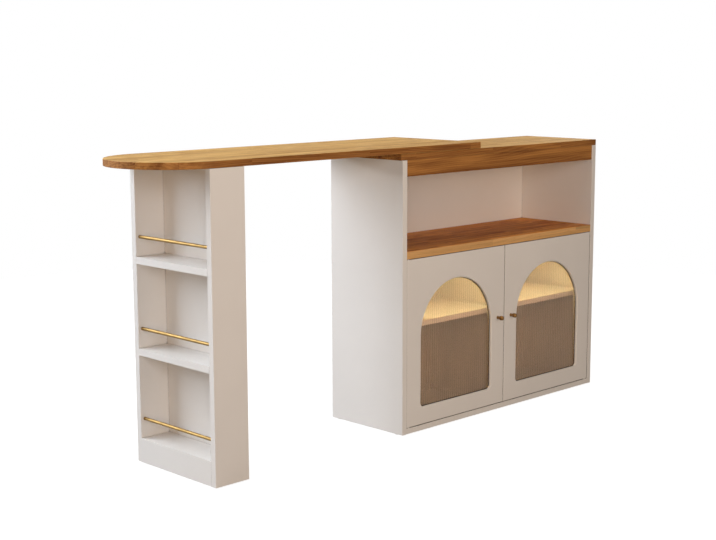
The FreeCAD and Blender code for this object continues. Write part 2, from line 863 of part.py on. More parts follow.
def track_profile(x, y, z):
    """The C-shaped section of a track, open downwards."""
    half = track_width / 2
    inner = half - track_wall
    slot = track_slot / 2
    outline = [
        (-half, 0), (-slot, 0), (-slot, track_wall), (-inner, track_wall),
        (-inner, track_height - track_wall), (inner, track_height - track_wall),
        (inner, track_wall), (slot, track_wall), (slot, 0), (half, 0),
        (half, track_height), (-half, track_height),
    ]
    return outline_face([Vector(x, y + across, z + up) for across, up in outline])


def slide_profile(x, y):
    """The nylon block's section: base in the lower top, neck in the slot, head in the track."""
    head = (track_width - 2 * track_wall) / 2 - slide_play
    neck = track_slot / 2 - slide_play
    base_bottom = z_lower_top - slide_base_depth
    head_bottom = z_table + track_wall + slide_play
    head_top = z_table + track_height - track_wall - slide_play
    outline = [
        (-head, base_bottom), (head, base_bottom), (head, z_lower_top), (neck, z_lower_top),
        (neck, head_bottom), (head, head_bottom), (head, head_top), (-head, head_top),
        (-head, head_bottom), (-neck, head_bottom), (-neck, z_lower_top), (-head, z_lower_top),
    ]
    return outline_face([Vector(x, y + across, z) for across, z in outline])


def slide_screw(x, y, grow=0.0):
    head_top = z_table + track_height - track_wall - slide_play
    return flush_screw(Vector(x, y, head_top), DOWN, slide_screw_length, grow)


def track_screw_places():
    run = x_track_right - x_track_left - 2 * track_stop_length - 2 * screw_head_diameter
    start = x_track_left + track_stop_length + screw_head_diameter
    return [start + run * n / (track_screw_count - 1) for n in range(track_screw_count)]


def track_screw(x, y, grow=0.0):
    ceiling = z_table + track_height - track_wall
    return flush_screw(Vector(x, y, ceiling), UP, small_screw_length, grow)


def make_sliding_gear():
    blocks = []
    block_screws = []
    track_screws = []
    stops = []
    inner = (track_width - 2 * track_wall) / 2
    for place, y in y_tracks.items():
        track = track_profile(x_track_left, y, z_table).extrude(Vector(x_track_right - x_track_left, 0, 0))
        track = track.cut([track_screw(x, y, screw_fit) for x in track_screw_places()])
        save(place + "_track", track)
        for x in track_screw_places():
            track_screws.append(track_screw(x, y))
        for x0 in (x_track_left, x_track_right - track_stop_length):
            stops.append(board(x0, x0 + track_stop_length, y - inner, y + inner,
                               z_table + track_wall, z_table + track_height - track_wall))
        for x in x_slides:
            block = slide_profile(x - slide_length / 2, y).extrude(Vector(slide_length, 0, 0))
            blocks.append(block.cut(slide_screw(x, y, screw_fit)))
            block_screws.append(slide_screw(x, y))
    save("slide_blocks", *blocks)
    save("slide_screws", *block_screws)
    save("track_screws", *track_screws)
    save("track_stops", *stops)


def make_table_top():
    """The long sliding top: round left end, eased edges and a groove for each track."""
    radius = table_width / 2
    y_middle = y_tops + radius
    far = y_tops + table_width
    x_arc = x_table_end + radius
    x_end = x_table_end + table_length
    wire = Part.Wire([
        Part.makeLine(Vector(x_arc, y_tops, z_table), Vector(x_end, y_tops, z_table)),
        Part.makeLine(Vector(x_end, y_tops, z_table), Vector(x_end, far, z_table)),
        Part.makeLine(Vector(x_end, far, z_table), Vector(x_arc, far, z_table)),
        Part.Arc(Vector(x_arc, far, z_table), Vector(x_table_end, y_middle, z_table),
                 Vector(x_arc, y_tops, z_table)).toShape(),
    ])
    slab = Part.Face(wire).extrude(Vector(0, 0, table_thickness))
    slab = rounded(slab, top_edge_radius, level_at(z_table, z_table + table_thickness))
    cuts = []
    for y in y_tracks.values():
        half = track_width / 2
        cuts.append(board(x_track_left, x_track_right, y - half, y + half, z_table, z_table + track_height))
        cuts.extend(track_screw(x, y, screw_fit) for x in track_screw_places())
    cuts.extend(bracket_screw_up(x, y, screw_fit) for x, y, _ in bracket_places())
    save("table_top", slab.cut(cuts))


# ---------------------------------------------------------------- tower

def bracket_places():
    """(x, y, direction away from the side) of each corner bracket under the table."""
    places = []
    for x in (x_tower_front + bracket_inset, x_tower_inside_back - bracket_inset):
        places.append((x, y_tower_inside, TO_BACK))
        places.append((x, y_tower_inside_far, TO_FRONT))
    return places


def bracket_reach():
    """From the corner to the middle of a bracket leg's free part."""
    return (bracket_thickness + bracket_leg) / 2


def bracket_screw_up(x, y, grow=0.0):
    away = TO_BACK if y < (y_tower_inside + y_tower_inside_far) / 2 else TO_FRONT
    start = Vector(x, y, z_table - bracket_thickness) + away * bracket_reach()
    return pan_screw(start, UP, small_screw_length + bracket_thickness, grow)


def bracket_screw_side(x, y, away, grow=0.0):
    start = Vector(x, y, z_table - bracket_reach()) + away * bracket_thickness
    return pan_screw(start, -away, screw_length, grow)


def make_bracket(x, y, away):
    """A bent steel angle: one leg on the tower's side, one under the table."""
    sign = away.y
    outline = [
        (0, 0), (bracket_leg, 0), (bracket_leg, -bracket_thickness),
        (bracket_thickness, -bracket_thickness), (bracket_thickness, -bracket_leg), (0, -bracket_leg),
    ]
    face = outline_face([Vector(x - bracket_width / 2, y + sign * out, z_table + up) for out, up in outline])
    bracket = face.extrude(Vector(bracket_width, 0, 0))
    return bracket.cut([bracket_screw_up(x, y, screw_fit), bracket_screw_side(x, y, away, screw_fit)])


def rail_places():
    return [(x_tower_front + rail_inset, top + rail_height) for top in tower_shelf_tops]


def tower_side(y0, inside):
    """A tower side with blind seats for the rails and pilot holes for the brackets."""
    panel = board(x_tower_front, x_tower_back, y0, y0 + tower_panel, tower_floor_gap, z_table)
    panel = rounded(panel, tower_edge_radius, upright_along(x_tower_front))
    into = TO_FRONT if inside > y0 else TO_BACK
    seats = [rod(rail_diameter + 2 * rail_fit, rail_seat_depth, Vector(x, inside, z), into)
             for x, z in rail_places()]
    pilots = [bracket_screw_side(x, y, away, screw_fit) for x, y, away in bracket_places() if y == inside]
    return panel.cut(seats + pilots)


def make_tower():
    save_board("tower_front_side", tower_side(y_front, y_tower_inside))
    save_board("tower_rear_side", tower_side(y_tower_inside_far, y_tower_inside_far))
    save_board("tower_back", board(x_tower_inside_back, x_tower_back, y_tower_inside, y_tower_inside_far,
                                   tower_floor_gap, z_table))
    save_board("tower_plinth", board(x_tower_front, x_tower_front + plinth_thickness,
                                     y_tower_inside, y_tower_inside_far, tower_floor_gap, tower_shelf_under(0)))
    rail_names = ("lower_rail", "middle_rail", "upper_rail")
    screws = []
    for number, name in enumerate(tower_shelf_names):
        shelf = board(x_tower_front, x_tower_inside_back, y_tower_inside, y_tower_inside_far,
                      tower_shelf_under(number), tower_shelf_tops[number])
        if number == 0:
            shelf = shelf.cut([caster_screw(y, end, screw_fit) for y in caster_places() for end in (-1, 1)])
        save_board(name, shelf)
    length = y_tower_inside_far - y_tower_inside + 2 * (rail_seat_depth - rail_fit)
    for name, (x, z) in zip(rail_names, rail_places()):
        start = Vector(x, y_tower_inside - rail_seat_depth + rail_fit, z)
        save(name, rod(rail_diameter, length, start, TO_BACK))
    save("tower_brackets", *[make_bracket(x, y, away) for x, y, away in bracket_places()])
    for x, y, away in bracket_places():
        screws.append(bracket_screw_up(x, y))
        screws.append(bracket_screw_side(x, y, away))
    for y in caster_places():
        screws.extend(caster_screw(y, end) for end in (-1, 1))
    save("tower_screws", *screws)


def tower_shelf_under(number):
    return tower_shelf_tops[number] - tower_shelf_thickness


# ---------------------------------------------------------------- casters

def caster_places():
    return (y_tower_inside + caster_inset, y_tower_inside_far - caster_inset)


def caster_x():
    return (x_tower_front + plinth_thickness + x_tower_inside_back) / 2


def caster_screw(y, end, grow=0.0):
    start = Vector(caster_x() + end * fork_screw_spacing / 2, y, tower_shelf_under(0) - fork_thickness)
    return pan_screw(start, UP, screw_length, grow)


def make_fork(y):
    """A pressed fork: a plate under the shelf and two cheeks that carry the axle."""
    x = caster_x()
    z_plate = tower_shelf_under(0)
    z_axle = wheel_diameter / 2
    half = wheel_width / 2 + fork_play
    plate = board(x - fork_plate_length / 2, x + fork_plate_length / 2,
                  y - half - fork_thickness, y + half + fork_thickness, z_plate - fork_thickness, z_plate)
    plate = plate.cut([caster_screw(y, end, screw_fit) for end in (-1, 1)])
    cheeks = []
    for side in (y - half - fork_thickness, y + half):
        outline = Part.Wire([
            Part.makeLine(Vector(x - fork_length / 2, side, z_plate - fork_thickness),
                          Vector(x + fork_length / 2, side, z_plate - fork_thickness)),
            Part.makeLine(Vector(x + fork_length / 2, side, z_plate - fork_thickness),
                          Vector(x + fork_nose_radius, side, z_axle)),
            Part.Arc(Vector(x + fork_nose_radius, side, z_axle), Vector(x, side, z_axle - fork_nose_radius),
                     Vector(x - fork_nose_radius, side, z_axle)).toShape(),
            Part.makeLine(Vector(x - fork_nose_radius, side, z_axle),
                          Vector(x - fork_length / 2, side, z_plate - fork_thickness)),
        ])
        cheeks.append(Part.Face(outline).extrude(Vector(0, fork_thickness, 0)))
    fork = plate.fuse(cheeks).removeSplitter()
    bore = rod(axle_diameter + 2 * axle_fit, 2 * (half + fork_thickness),
               Vector(x, y - half - fork_thickness, z_axle), TO_BACK)
    return fork.cut(bore)


def make_axle(y):
    half = wheel_width / 2 + fork_play + fork_thickness
    profile = [
        (0, -half - axle_head_thickness), (axle_head_diameter / 2, -half - axle_head_thickness),
        (axle_head_diameter / 2, -half), (axle_diameter / 2, -half),
        (axle_diameter / 2, half), (axle_head_diameter / 2, half),
        (axle_head_diameter / 2, half + axle_head_thickness), (0, half + axle_head_thickness),
    ]
    return turned(profile, Vector(caster_x(), y, wheel_diameter / 2), TO_BACK)


def make_wheel(y):
    """A nylon wheel with a dished web, bored for its axle."""
    half = wheel_width / 2
    outer = wheel_diameter / 2
    bore = axle_diameter / 2 + axle_fit
    hub = axle_diameter / 2 + fork_thickness
    web = half - wheel_hub_recess
    profile = [
        (bore, -half), (hub, -half), (hub, -web), (wheel_web_radius, -web), (wheel_web_radius, -half),
        (outer, -half), (outer, half),
        (wheel_web_radius, half), (wheel_web_radius, web), (hub, web), (hub, half), (bore, half),
    ]
    wheel = turned(profile, Vector(caster_x(), y, outer), TO_BACK)

    def tread(box):
        return box.ZLength > wheel_diameter - SMALL and box.YLength < SMALL

    return rounded(wheel, wheel_edge_radius, tread)


def make_casters():
    near, far = caster_places()
    save("caster_forks", make_fork(near), make_fork(far))
    save("caster_axles", make_axle(near), make_axle(far))
    save("front_wheel", make_wheel(near))
    save("rear_wheel", make_wheel(far))


os.makedirs("parts", exist_ok=True)
make_joints()
make_carcass()
make_lower_top()
make_inner_shelves()
make_glides()
make_lights()
make_doors()
make_sliding_gear()
make_table_top()
make_tower()
make_casters()
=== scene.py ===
"""Finishes, fittings and a plain studio for a bar counter with glazed doors and a sliding top."""

import json
import math

import bmesh
import bpy
from bpy.props import FloatProperty, FloatVectorProperty, PointerProperty
from mathutils import Matrix, Vector


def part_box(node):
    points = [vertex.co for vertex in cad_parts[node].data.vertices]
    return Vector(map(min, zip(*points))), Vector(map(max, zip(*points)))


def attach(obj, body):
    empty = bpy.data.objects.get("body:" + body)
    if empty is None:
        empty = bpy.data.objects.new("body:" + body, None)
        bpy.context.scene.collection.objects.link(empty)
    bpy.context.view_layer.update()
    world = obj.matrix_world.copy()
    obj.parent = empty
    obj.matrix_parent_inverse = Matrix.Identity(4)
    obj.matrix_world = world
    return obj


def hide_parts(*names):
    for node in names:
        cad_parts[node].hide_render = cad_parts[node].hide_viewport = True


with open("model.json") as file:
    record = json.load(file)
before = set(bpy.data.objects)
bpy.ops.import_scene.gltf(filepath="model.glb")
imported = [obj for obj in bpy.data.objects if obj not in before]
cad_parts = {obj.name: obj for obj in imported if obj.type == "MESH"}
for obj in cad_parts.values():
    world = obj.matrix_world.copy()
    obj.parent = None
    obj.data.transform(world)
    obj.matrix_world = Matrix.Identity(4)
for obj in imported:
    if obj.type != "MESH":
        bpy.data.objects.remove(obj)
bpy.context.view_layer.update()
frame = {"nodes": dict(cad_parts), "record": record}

bl_info = {
    "name": "Bar Counter",
    "version": (1, 0, 0),
    "blender": (4, 5, 0),
    "location": "3D View > Sidebar > Counter",
    "description": "Lacquer, wood, reeded glass, brass and fittings for a bar counter with a sliding top",
    "category": "Object",
}

FRONT = Vector((0, -1, 0))     # the way that the doors face


def recorded(slot):
    """The record's colour for one of its material slots."""
    for entry in frame["record"]["materials"]:
        if entry["slot"] == slot:
            return tuple(entry["base_color"][:3])
    raise KeyError(f"the record has no material slot named {slot}")


def colour(name, description, default):
    return FloatVectorProperty(name=name, description=description, subtype="COLOR", size=3,
                               min=0.0, max=1.0, default=default)


def length(name, description, default):
    return FloatProperty(name=name, description=description, unit="LENGTH", subtype="DISTANCE",
                         min=0.0, precision=4, default=default)


def power(name, description, default):
    return FloatProperty(name=name, description=description, unit="POWER", min=0.0, default=default)


def angle(name, description, degrees):
    return FloatProperty(name=name, description=description, subtype="ANGLE", unit="ROTATION",
                         default=math.radians(degrees))


# ---------------------------------------------------------------- settings

class CounterColours(bpy.types.PropertyGroup):
    """Colours of the counter's finishes."""

    paint: colour("Paint", "Warm white lacquer on the boards and doors", (0.80, 0.765, 0.725))
    paint_worn: colour("Paint at edges", "Lacquer where edges are rubbed thin", (0.86, 0.835, 0.80))
    banding: colour("Shelf banding", "Pale front edges of the cupboard shelves", (0.96, 0.96, 1.0))
    dust: colour("Dust", "Dust that lies on the lacquer", (0.66, 0.62, 0.57))
    # Painted shade: the near-black that ambient occlusion lays into the lacquer's gaps and inner corners.
    gap_shade_colour: colour("Grime", "Dark in the gaps and corners of the lacquered boards", (0.08, 0.065, 0.05))
    # Partly painted light: the tops' face colours are lighter than their edge colours for the wood's own tone
    # and also for the light and sheen that fall on the tops.
    top_light: colour("Top, light", "Light wood on the upper faces of both tops", (0.76, 0.465, 0.155))
    top_dark: colour("Top, dark", "Dark wood on the upper faces of both tops", (0.39, 0.185, 0.040))
    edge_light: colour("Edge, light", "Light streaks on the tops' edges and the fascia", (0.52, 0.23, 0.060))
    edge_dark: colour("Edge, dark", "Dark streaks on the tops' edges and the fascia", (0.16, 0.052, 0.011))
    shelf_light: colour("Shelf, light", "Light wood on the niche shelf", (1.0, 0.42, 0.090))
    shelf_dark: colour("Shelf, dark", "Dark wood on the niche shelf", (0.50, 0.145, 0.020))
    niche_edge: colour("Niche shelf edge", "Banding on the niche shelf's front edge", (0.77, 0.44, 0.175))
    wood_dust: colour("Dust on wood", "Dust that lies on the wood", (0.62, 0.52, 0.42))
    # Painted shade: the near-black that ambient occlusion lays into the woodwork's gaps and inner corners.
    wood_gap_shade_colour: colour("Grime on wood", "Dark in the gaps and corners of the woodwork", (0.05, 0.025, 0.012))
    wood_pore: colour("Pores", "How far pores and glue lines darken the wood", (0.42, 0.30, 0.22))
    brass: colour("Brass", "Satin brass of the shelf rails", (0.35, 0.22, 0.075))
    brass_aged: colour("Aged brass", "Toned brass of the door knobs", (0.29, 0.155, 0.055))
    glass: colour("Glass", "Tint of the reeded panes", (0.83, 0.665, 0.495))
    # Partly painted shade: a real rubber seal, made near-black so that it also stands in for the shadow line
    # where each window's edge meets the pane.
    seal: colour("Seal", "Dark rubber round the panes", (0.045, 0.03, 0.022))
    lens: colour("Lamp lens", "Opal plastic of the lamps' diffusers", (0.9, 0.86, 0.78))
    glow: colour("Lamp glow", "Warm light of the cupboard lamps", (0.96, 1.0, 0.635))
    steel: colour("Steel", "Zinc-plated steel of screws and brackets", recorded("steel"))
    aluminium: colour("Aluminium", "Anodised tracks and lamp channels", recorded("aluminium"))
    nylon: colour("Nylon", "Moulded slide blocks, washers and glides", recorded("nylon"))


class CounterSizes(bpy.types.PropertyGroup):
    """Sizes of the details that the finishes and fittings add."""

    stave_length: length("Stave length", "Length of one glued stave in the tops", 0.46)
    stave_width: length("Stave width", "Width of one glued stave in the tops", 0.046)
    edge_wear: length("Edge wear", "How far rubbed edges reach into a face", 0.0012)
    screw_recess: length("Cross recess", "Width across the driver recess in a screw head", 0.0042)
    brad_diameter: length("Brad head", "Diameter of the nail heads round the back panel", 0.0032)
    brad_spacing: length("Brad spacing", "Distance between the back panel's nails", 0.11)
    brad_inset: length("Brad inset", "From the back panel's edges to the nails", 0.005)
    brad_top_inset: length("Top brad inset", "From the back panel's upper edge to the nails", 0.009)
    pane_lap: length("Pane lap", "How far a pane reaches behind the edge of its window", 0.0075)
    window_corner: length("Window corner", "Radius of a window's lower corners", 0.015)
    seal_width: length("Seal width", "Width of the rubber seal that shows round a pane", 0.0022)
    light_passed: FloatProperty(name="Light through reeds", min=0.0, max=1.0, default=0.40,
                                description="Share of the light from outside that a pane lets straight in")
    lamp_strength: FloatProperty(name="Lamp strength", description="Brightness of the cupboard lamps",
                                 min=0.0, default=43.0)
    lamp_pitch: length("Lamp pitch", "Distance between diodes behind the lens", 0.0166)


class CounterStage(bpy.types.PropertyGroup):
    """Camera, lamps and floor of the studio."""

    camera_place: FloatVectorProperty(name="Camera", description="Where the camera stands", size=3,
                                      subtype="TRANSLATION", unit="LENGTH",
                                      default=(-3.0509, -3.0563, 1.1973))
    camera_turn: angle("Camera turn", "Turn of the view to the right of straight back", 44.42)
    camera_tilt: angle("Camera tilt", "Tilt of the view above level", -9.06)
    camera_roll: angle("Camera roll", "Roll of the camera about its view", -0.17)
    camera_lens: FloatProperty(name="Lens", description="Focal length on a 36 mm wide sensor",
                               unit="CAMERA", default=68.03)
    key_turn: angle("Key turn", "Direction the key light travels, right of straight forward", 20.0)
    key_height: angle("Key height", "Height of the key light above level", 10.5)
    key_softness: angle("Key softness", "Apparent width of the key light", 3.5)
    key_strength: FloatProperty(name="Key strength", description="Brightness of the key light",
                                min=0.0, default=0.60)
    key_colour: colour("Key colour", "Colour of the key light", (1.0, 0.97, 0.92))
    window_power: power("Window", "Power of the large cool light behind on the left", 200.0)
    window_colour: colour("Window colour", "Colour of the large light behind on the left", (0.82, 0.90, 1.0))
    fill_power: power("Fill", "Power of the soft light beside the camera", 50.0)
    fill_colour: colour("Fill colour", "Colour of the light beside the camera", (1.0, 0.98, 1.0))
    low_power: power("Low", "Power of the warm light low on the left", 22.0)
    low_colour: colour("Low colour", "Colour of the light low on the left", (1.0, 0.61, 0.26))
    near_power: power("Near", "Power of the small light close to the front", 20.5)
    near_colour: colour("Near colour", "Colour of the small light close to the front", (1.0, 0.81, 0.64))
    top_power: power("Top", "Power of the soft light overhead", 62.0)
    top_colour: colour("Top colour", "Colour of the light overhead", (1.0, 0.98, 0.95))
    side_power: power("Side", "Power of the high light on the right", 32.0)
    side_colour: colour("Side colour", "Colour of the high light on the right", (1.0, 0.95, 0.90))
    surroundings: FloatProperty(name="Surroundings", description="Brightness of the room in reflections",
                                min=0.0, max=1.0, default=0.45)
    floor_colour: colour("Floor", "Colour of the floor", (0.18, 0.175, 0.17))
    floor_glow: FloatProperty(name="Floor whiteness", description="How white the floor stays in shadow",
                              min=0.0, max=1.0, default=0.93)
    floor_size: length("Floor size", "Width of the floor", 7.0)
    floor_drop: length("Floor drop", "How far the floor lies under the counter's feet", 0.0005)


# ---------------------------------------------------------------- node helpers

def add(tree, kind, inputs=None, **settings):
    """Put a node into a tree with its settings and inputs, and return its outputs."""
    node = tree.nodes.new("ShaderNode" + kind)
    for name, value in settings.items():
        setattr(node, name, value)
    for name, value in (inputs or {}).items():
        socket = node.inputs[name]
        if isinstance(value, bpy.types.NodeSocket):
            tree.links.new(value, socket)
        else:
            socket.default_value = value
    return node.outputs


def calculate(tree, operation, *values, clamp=False):
    """A Math node's result."""
    return add(tree, "Math", dict(enumerate(values)), operation=operation, use_clamp=clamp)[0]


def feed(tree, inputs, **sockets):
    """Link sockets to a node's inputs, each named by its label in small letters."""
    for label, socket in sockets.items():
        tree.links.new(socket, inputs[label.replace("_", " ").title()])


def bump(tree, height, strength, distance):
    """The normal of a surface that rises by height, at most distance in metres."""
    return add(tree, "Bump", {"Height": height, "Strength": strength, "Distance": distance})[0]


def spread(tree, value, low, high):
    """How far a value is on its way from low to high, from 0 to 1, softly and without overshoot."""
    return add(tree, "MapRange", {"Value": value, "From Min": low, "From Max": high},
               interpolation_type="SMOOTHSTEP")[0]


def mix_values(tree, factor, first, second):
    """Mix two numbers. The Mix node's inputs are counted, because their names repeat for each type."""
    return add(tree, "Mix", {0: factor, 2: first, 3: second}, data_type="FLOAT")[0]


def mix_colours(tree, factor, first, second, blend_type="MIX"):
    """Mix two colours, each a socket or plain red, green and blue."""
    return add(tree, "Mix", {0: factor, 6: opaque(first), 7: opaque(second)},
               data_type="RGBA", blend_type=blend_type)[2]


def opaque(value):
    """A plain colour with full alpha; a socket stays as it is."""
    return value if isinstance(value, bpy.types.NodeSocket) else (*value[:3], 1.0)


def shade(base, share, lift=0.0):
    """A plain colour times share, plus lift, and never past full brightness."""
    return [min(1.0, part * share + lift) for part in base]


def object_place(tree):
    """Where on its piece a point is, in metres."""
    return add(tree, "TexCoord")["Object"]


def object_facing(tree, axis):
    """How far a face points along an axis of its own piece, from -1 to 1."""
    return add(tree, "SeparateXYZ", {0: add(tree, "TexCoord")["Normal"]})[axis]


def noise(tree, scale, detail, roughness=0.5):
    """Noise over a piece, with scale repeats per metre."""
    return add(tree, "TexNoise", {"Vector": object_place(tree), "Scale": scale, "Detail": detail,
                                  "Roughness": roughness})[0]


def stretched_noise(tree, place, scale, detail=3.0, roughness=0.55, distortion=0.0):
    """Noise whose grains are stretched: scale holds repeats per metre along each axis."""
    moved = add(tree, "Mapping", {"Vector": place, "Scale": scale})[0]
    return add(tree, "TexNoise", {"Vector": moved, "Scale": 1.0, "Detail": detail,
                                  "Roughness": roughness, "Distortion": distortion})[0]


def effect(name, inputs, outputs):
    """A new shader node group: its tree, the values given to it and the sockets that it fills."""
    group = bpy.data.node_groups.new(name, "ShaderNodeTree")
    for label, default in inputs.items():
        socket = group.interface.new_socket(name=label, in_out="INPUT", socket_type="NodeSocketFloat")
        socket.default_value = default
    for label in outputs:
        group.interface.new_socket(name=label, in_out="OUTPUT", socket_type="NodeSocketFloat")
    return group, group.nodes.new("NodeGroupInput").outputs, group.nodes.new("NodeGroupOutput").inputs


def use(tree, effect_name, **values):
    """Place a node group in a material with its own values, and return its outputs."""
    node = tree.nodes.new("ShaderNodeGroup")
    node.node_tree = bpy.data.node_groups[effect_name]
    for name, value in values.items():
        node.inputs[name.replace("_", " ").title()].default_value = value
    return node.outputs


# ---------------------------------------------------------------- shared effects

def make_edge_wear():
    """Mask of rubbed edges, broken up by noise."""
    group, given, out = effect("edge_wear", {"Width": 0.0012, "Amount": 0.6, "Scale": 30.0}, ["Mask"])
    rounded = add(group, "Bevel", {"Radius": given["Width"]}, samples=4)["Normal"]
    straight = add(group, "NewGeometry")["Normal"]
    alike = add(group, "VectorMath", {0: rounded, 1: straight}, operation="DOT_PRODUCT")["Value"]
    edge = spread(group, alike, 0.99, 0.80)
    patches = spread(group, noise(group, given["Scale"], 4.0), 0.35, 0.65)
    worn = calculate(group, "MULTIPLY", edge, patches)
    feed(group, out, mask=calculate(group, "MULTIPLY", worn, given["Amount"]))


def make_dust():
    """Mask of fine dust on faces that look up."""
    group, given, out = effect("dust", {"Amount": 0.15, "Scale": 8.0}, ["Mask"])
    upward = add(group, "SeparateXYZ", {0: add(group, "NewGeometry")["Normal"]})["Z"]
    cloud = spread(group, noise(group, given["Scale"], 6.0, 0.7), 0.35, 0.75)
    lying = calculate(group, "MULTIPLY", spread(group, upward, 0.6, 1.0), cloud)
    feed(group, out, mask=calculate(group, "MULTIPLY", lying, given["Amount"]))


def make_painted_crevice_shade():
    """Mask of painted shade in narrow gaps and inner corners, where little light gets in, found by ambient
    occlusion.
    """
    group, given, out = effect("crevice", {"Reach": 0.008, "Amount": 0.8}, ["Mask"])
    open_air = add(group, "AmbientOcclusion", {"Distance": given["Reach"]}, samples=6)["AO"]
    shut_in = spread(group, open_air, 0.72, 0.10)
    feed(group, out, mask=calculate(group, "MULTIPLY", shut_in, given["Amount"]))


def make_sprayed_skin():
    """The faint orange peel and cloudiness of a sprayed or moulded surface."""
    group, given, out = effect("sprayed_skin", {"Scale": 420.0}, ["Height", "Cloud"])
    cloud = spread(group, noise(group, 3.0, 5.0, 0.6), 0.3, 0.7)
    feed(group, out, height=noise(group, given["Scale"], 2.0), cloud=cloud)


def make_wood_figure():
    """Solid wood sawn from logs: growth rings, streaks, pores and the joints of glued staves, along X."""
    group, given, out = effect("wood_figure", {"Stave Length": 0.46, "Stave Width": 0.046, "Shift": 0.0,
                                               "Ring Width": 0.007},
                               ["Stave", "Rings", "Figure", "Streak", "Pores", "Joint", "Height", "Flat"])
    place = add(group, "SeparateXYZ", {0: object_place(group)})
    flat = calculate(group, "GREATER_THAN", calculate(group, "ABSOLUTE", object_facing(group, "Z")), 0.6)
    along = calculate(group, "ADD", place["X"], given["Shift"])
    across = calculate(group, "ADD", place["Y"], given["Shift"])
    sheet = add(group, "CombineXYZ", {"X": along, "Y": across, "Z": 0.0})[0]
    # Bricks laid flat give each stave a value of its own, which moves it to another part of the noise.
    staves = add(group, "TexBrick", {"Vector": sheet, "Color1": (0, 0, 0, 1), "Color2": (1, 1, 1, 1),
                                     "Mortar": (0.5, 0.5, 0.5, 1), "Scale": 1.0, "Mortar Size": 0.0003,
                                     "Mortar Smooth": 0.3, "Brick Width": given["Stave Length"],
                                     "Row Height": given["Stave Width"]},
                 offset=0.37, squash=0.8, squash_frequency=3)
    stave = staves["Color"]
    own = add(group, "CombineXYZ", {
        "X": calculate(group, "MULTIPLY_ADD", stave, 7.3, along),
        "Y": calculate(group, "MULTIPLY_ADD", stave, 3.1, across),
        "Z": calculate(group, "MULTIPLY_ADD", stave, 5.7, place["Z"])})[0]
    # Rings are rounds about a bent pith along X, far below the tops and, stave by stave, off to one side.
    bend = stretched_noise(group, own, (1.7, 9.0, 9.0), detail=2.0, roughness=0.45)
    slant = calculate(group, "MULTIPLY", along, calculate(group, "MULTIPLY_ADD", stave, 0.11, -0.055))
    depth = calculate(group, "ADD", calculate(group, "MULTIPLY_ADD", bend, 0.070, slant), place["Z"])
    pith = calculate(group, "MULTIPLY_ADD", stave, 0.16, -0.08)
    log = add(group, "CombineXYZ", {"X": 0.0, "Y": calculate(group, "ADD", place["Y"], pith), "Z": depth})[0]
    radius = add(group, "VectorMath", {0: log}, operation="LENGTH")["Value"]
    ring = calculate(group, "FRACT", calculate(group, "DIVIDE", radius, given["Ring Width"]))
    rise = spread(group, ring, 0.15, 0.86)
    fall = spread(group, ring, 1.0, 0.90)
    # Streaks, fibres and pores are the same noise, ever finer across the grain.
    figure = stretched_noise(group, own, (1.6, 26.0, 26.0), detail=4.0, distortion=0.6)
    streak = stretched_noise(group, own, (2.2, 95.0, 95.0), detail=5.0, roughness=0.62)
    fibres = stretched_noise(group, own, (16.0, 1100.0, 1100.0), detail=2.0)
    pores = spread(group, stretched_noise(group, own, (60.0, 1400.0, 1400.0), detail=1.0), 0.60, 0.72)
    ridge = calculate(group, "SUBTRACT", fibres, pores)
    feed(group, out, stave=stave, rings=calculate(group, "MULTIPLY", rise, fall),
         figure=spread(group, figure, 0.34, 0.66), streak=spread(group, streak, 0.34, 0.66), pores=pores,
         joint=staves["Fac"], height=calculate(group, "SUBTRACT", ridge, staves["Fac"]), flat=flat)


def make_brushing():
    """Fine lines of brushed or drawn metal along X, Y or Z, by how slowly each axis repeats."""
    group, given, out = effect("brushing", {"Along X": 900.0, "Along Y": 900.0, "Along Z": 900.0},
                               ["Lines", "Tarnish"])
    scale = add(group, "CombineXYZ", {"X": given["Along X"], "Y": given["Along Y"], "Z": given["Along Z"]})[0]
    drawn = add(group, "VectorMath", {0: object_place(group), 1: scale}, operation="MULTIPLY")[0]
    lines = add(group, "TexNoise", {"Vector": drawn, "Scale": 1.0, "Detail": 3.0})[0]
    feed(group, out, lines=lines, tarnish=spread(group, noise(group, 45.0, 5.0, 0.65), 0.38, 0.68))


# ---------------------------------------------------------------- finishes

def shader(name, **values):
    """A new material: itself, its tree and its main shader's inputs, with the plain values set."""
    material = bpy.data.materials.new(name)
    material.use_nodes = True
    inputs = material.node_tree.nodes["Principled BSDF"].inputs
    for label, value in values.items():
        inputs[label.replace("_", " ").title().replace("Ior", "IOR")].default_value = value
    return material, material.node_tree, inputs


def lacquer(name, colours, sizes, wear=0.5, banding=None):
    """Satin lacquer: cloudy warm white, lighter at rubbed edges, with a banded front edge if one is given."""
    material, tree, inputs = shader(name)
    skin = use(tree, "sprayed_skin", scale=420.0)
    worn = use(tree, "edge_wear", width=sizes.edge_wear, amount=wear, scale=24.0)["Mask"]
    settled = use(tree, "dust", amount=0.22, scale=7.0)["Mask"]
    cloudy = mix_colours(tree, skin["Cloud"], shade(colours.paint, 0.965), colours.paint)
    rubbed = mix_colours(tree, worn, cloudy, colours.paint_worn)
    if banding:
        front = calculate(tree, "LESS_THAN", object_facing(tree, "Y"), -0.5)
        rubbed = mix_colours(tree, front, rubbed, banding)
    dusty = mix_colours(tree, settled, rubbed, colours.dust)
    # Painted shade in gaps and inner corners, from ambient occlusion.
    gaps = use(tree, "crevice", reach=0.008, amount=0.75)["Mask"]
    gloss = calculate(tree, "MULTIPLY_ADD", skin["Cloud"], 0.06, 0.36)
    feed(tree, inputs, base_color=mix_colours(tree, gaps, dusty, colours.gap_shade_colour),
         normal=bump(tree, skin["Height"], 0.05, 0.0004),
         roughness=calculate(tree, "MULTIPLY_ADD", settled, 0.5, gloss))
    return material


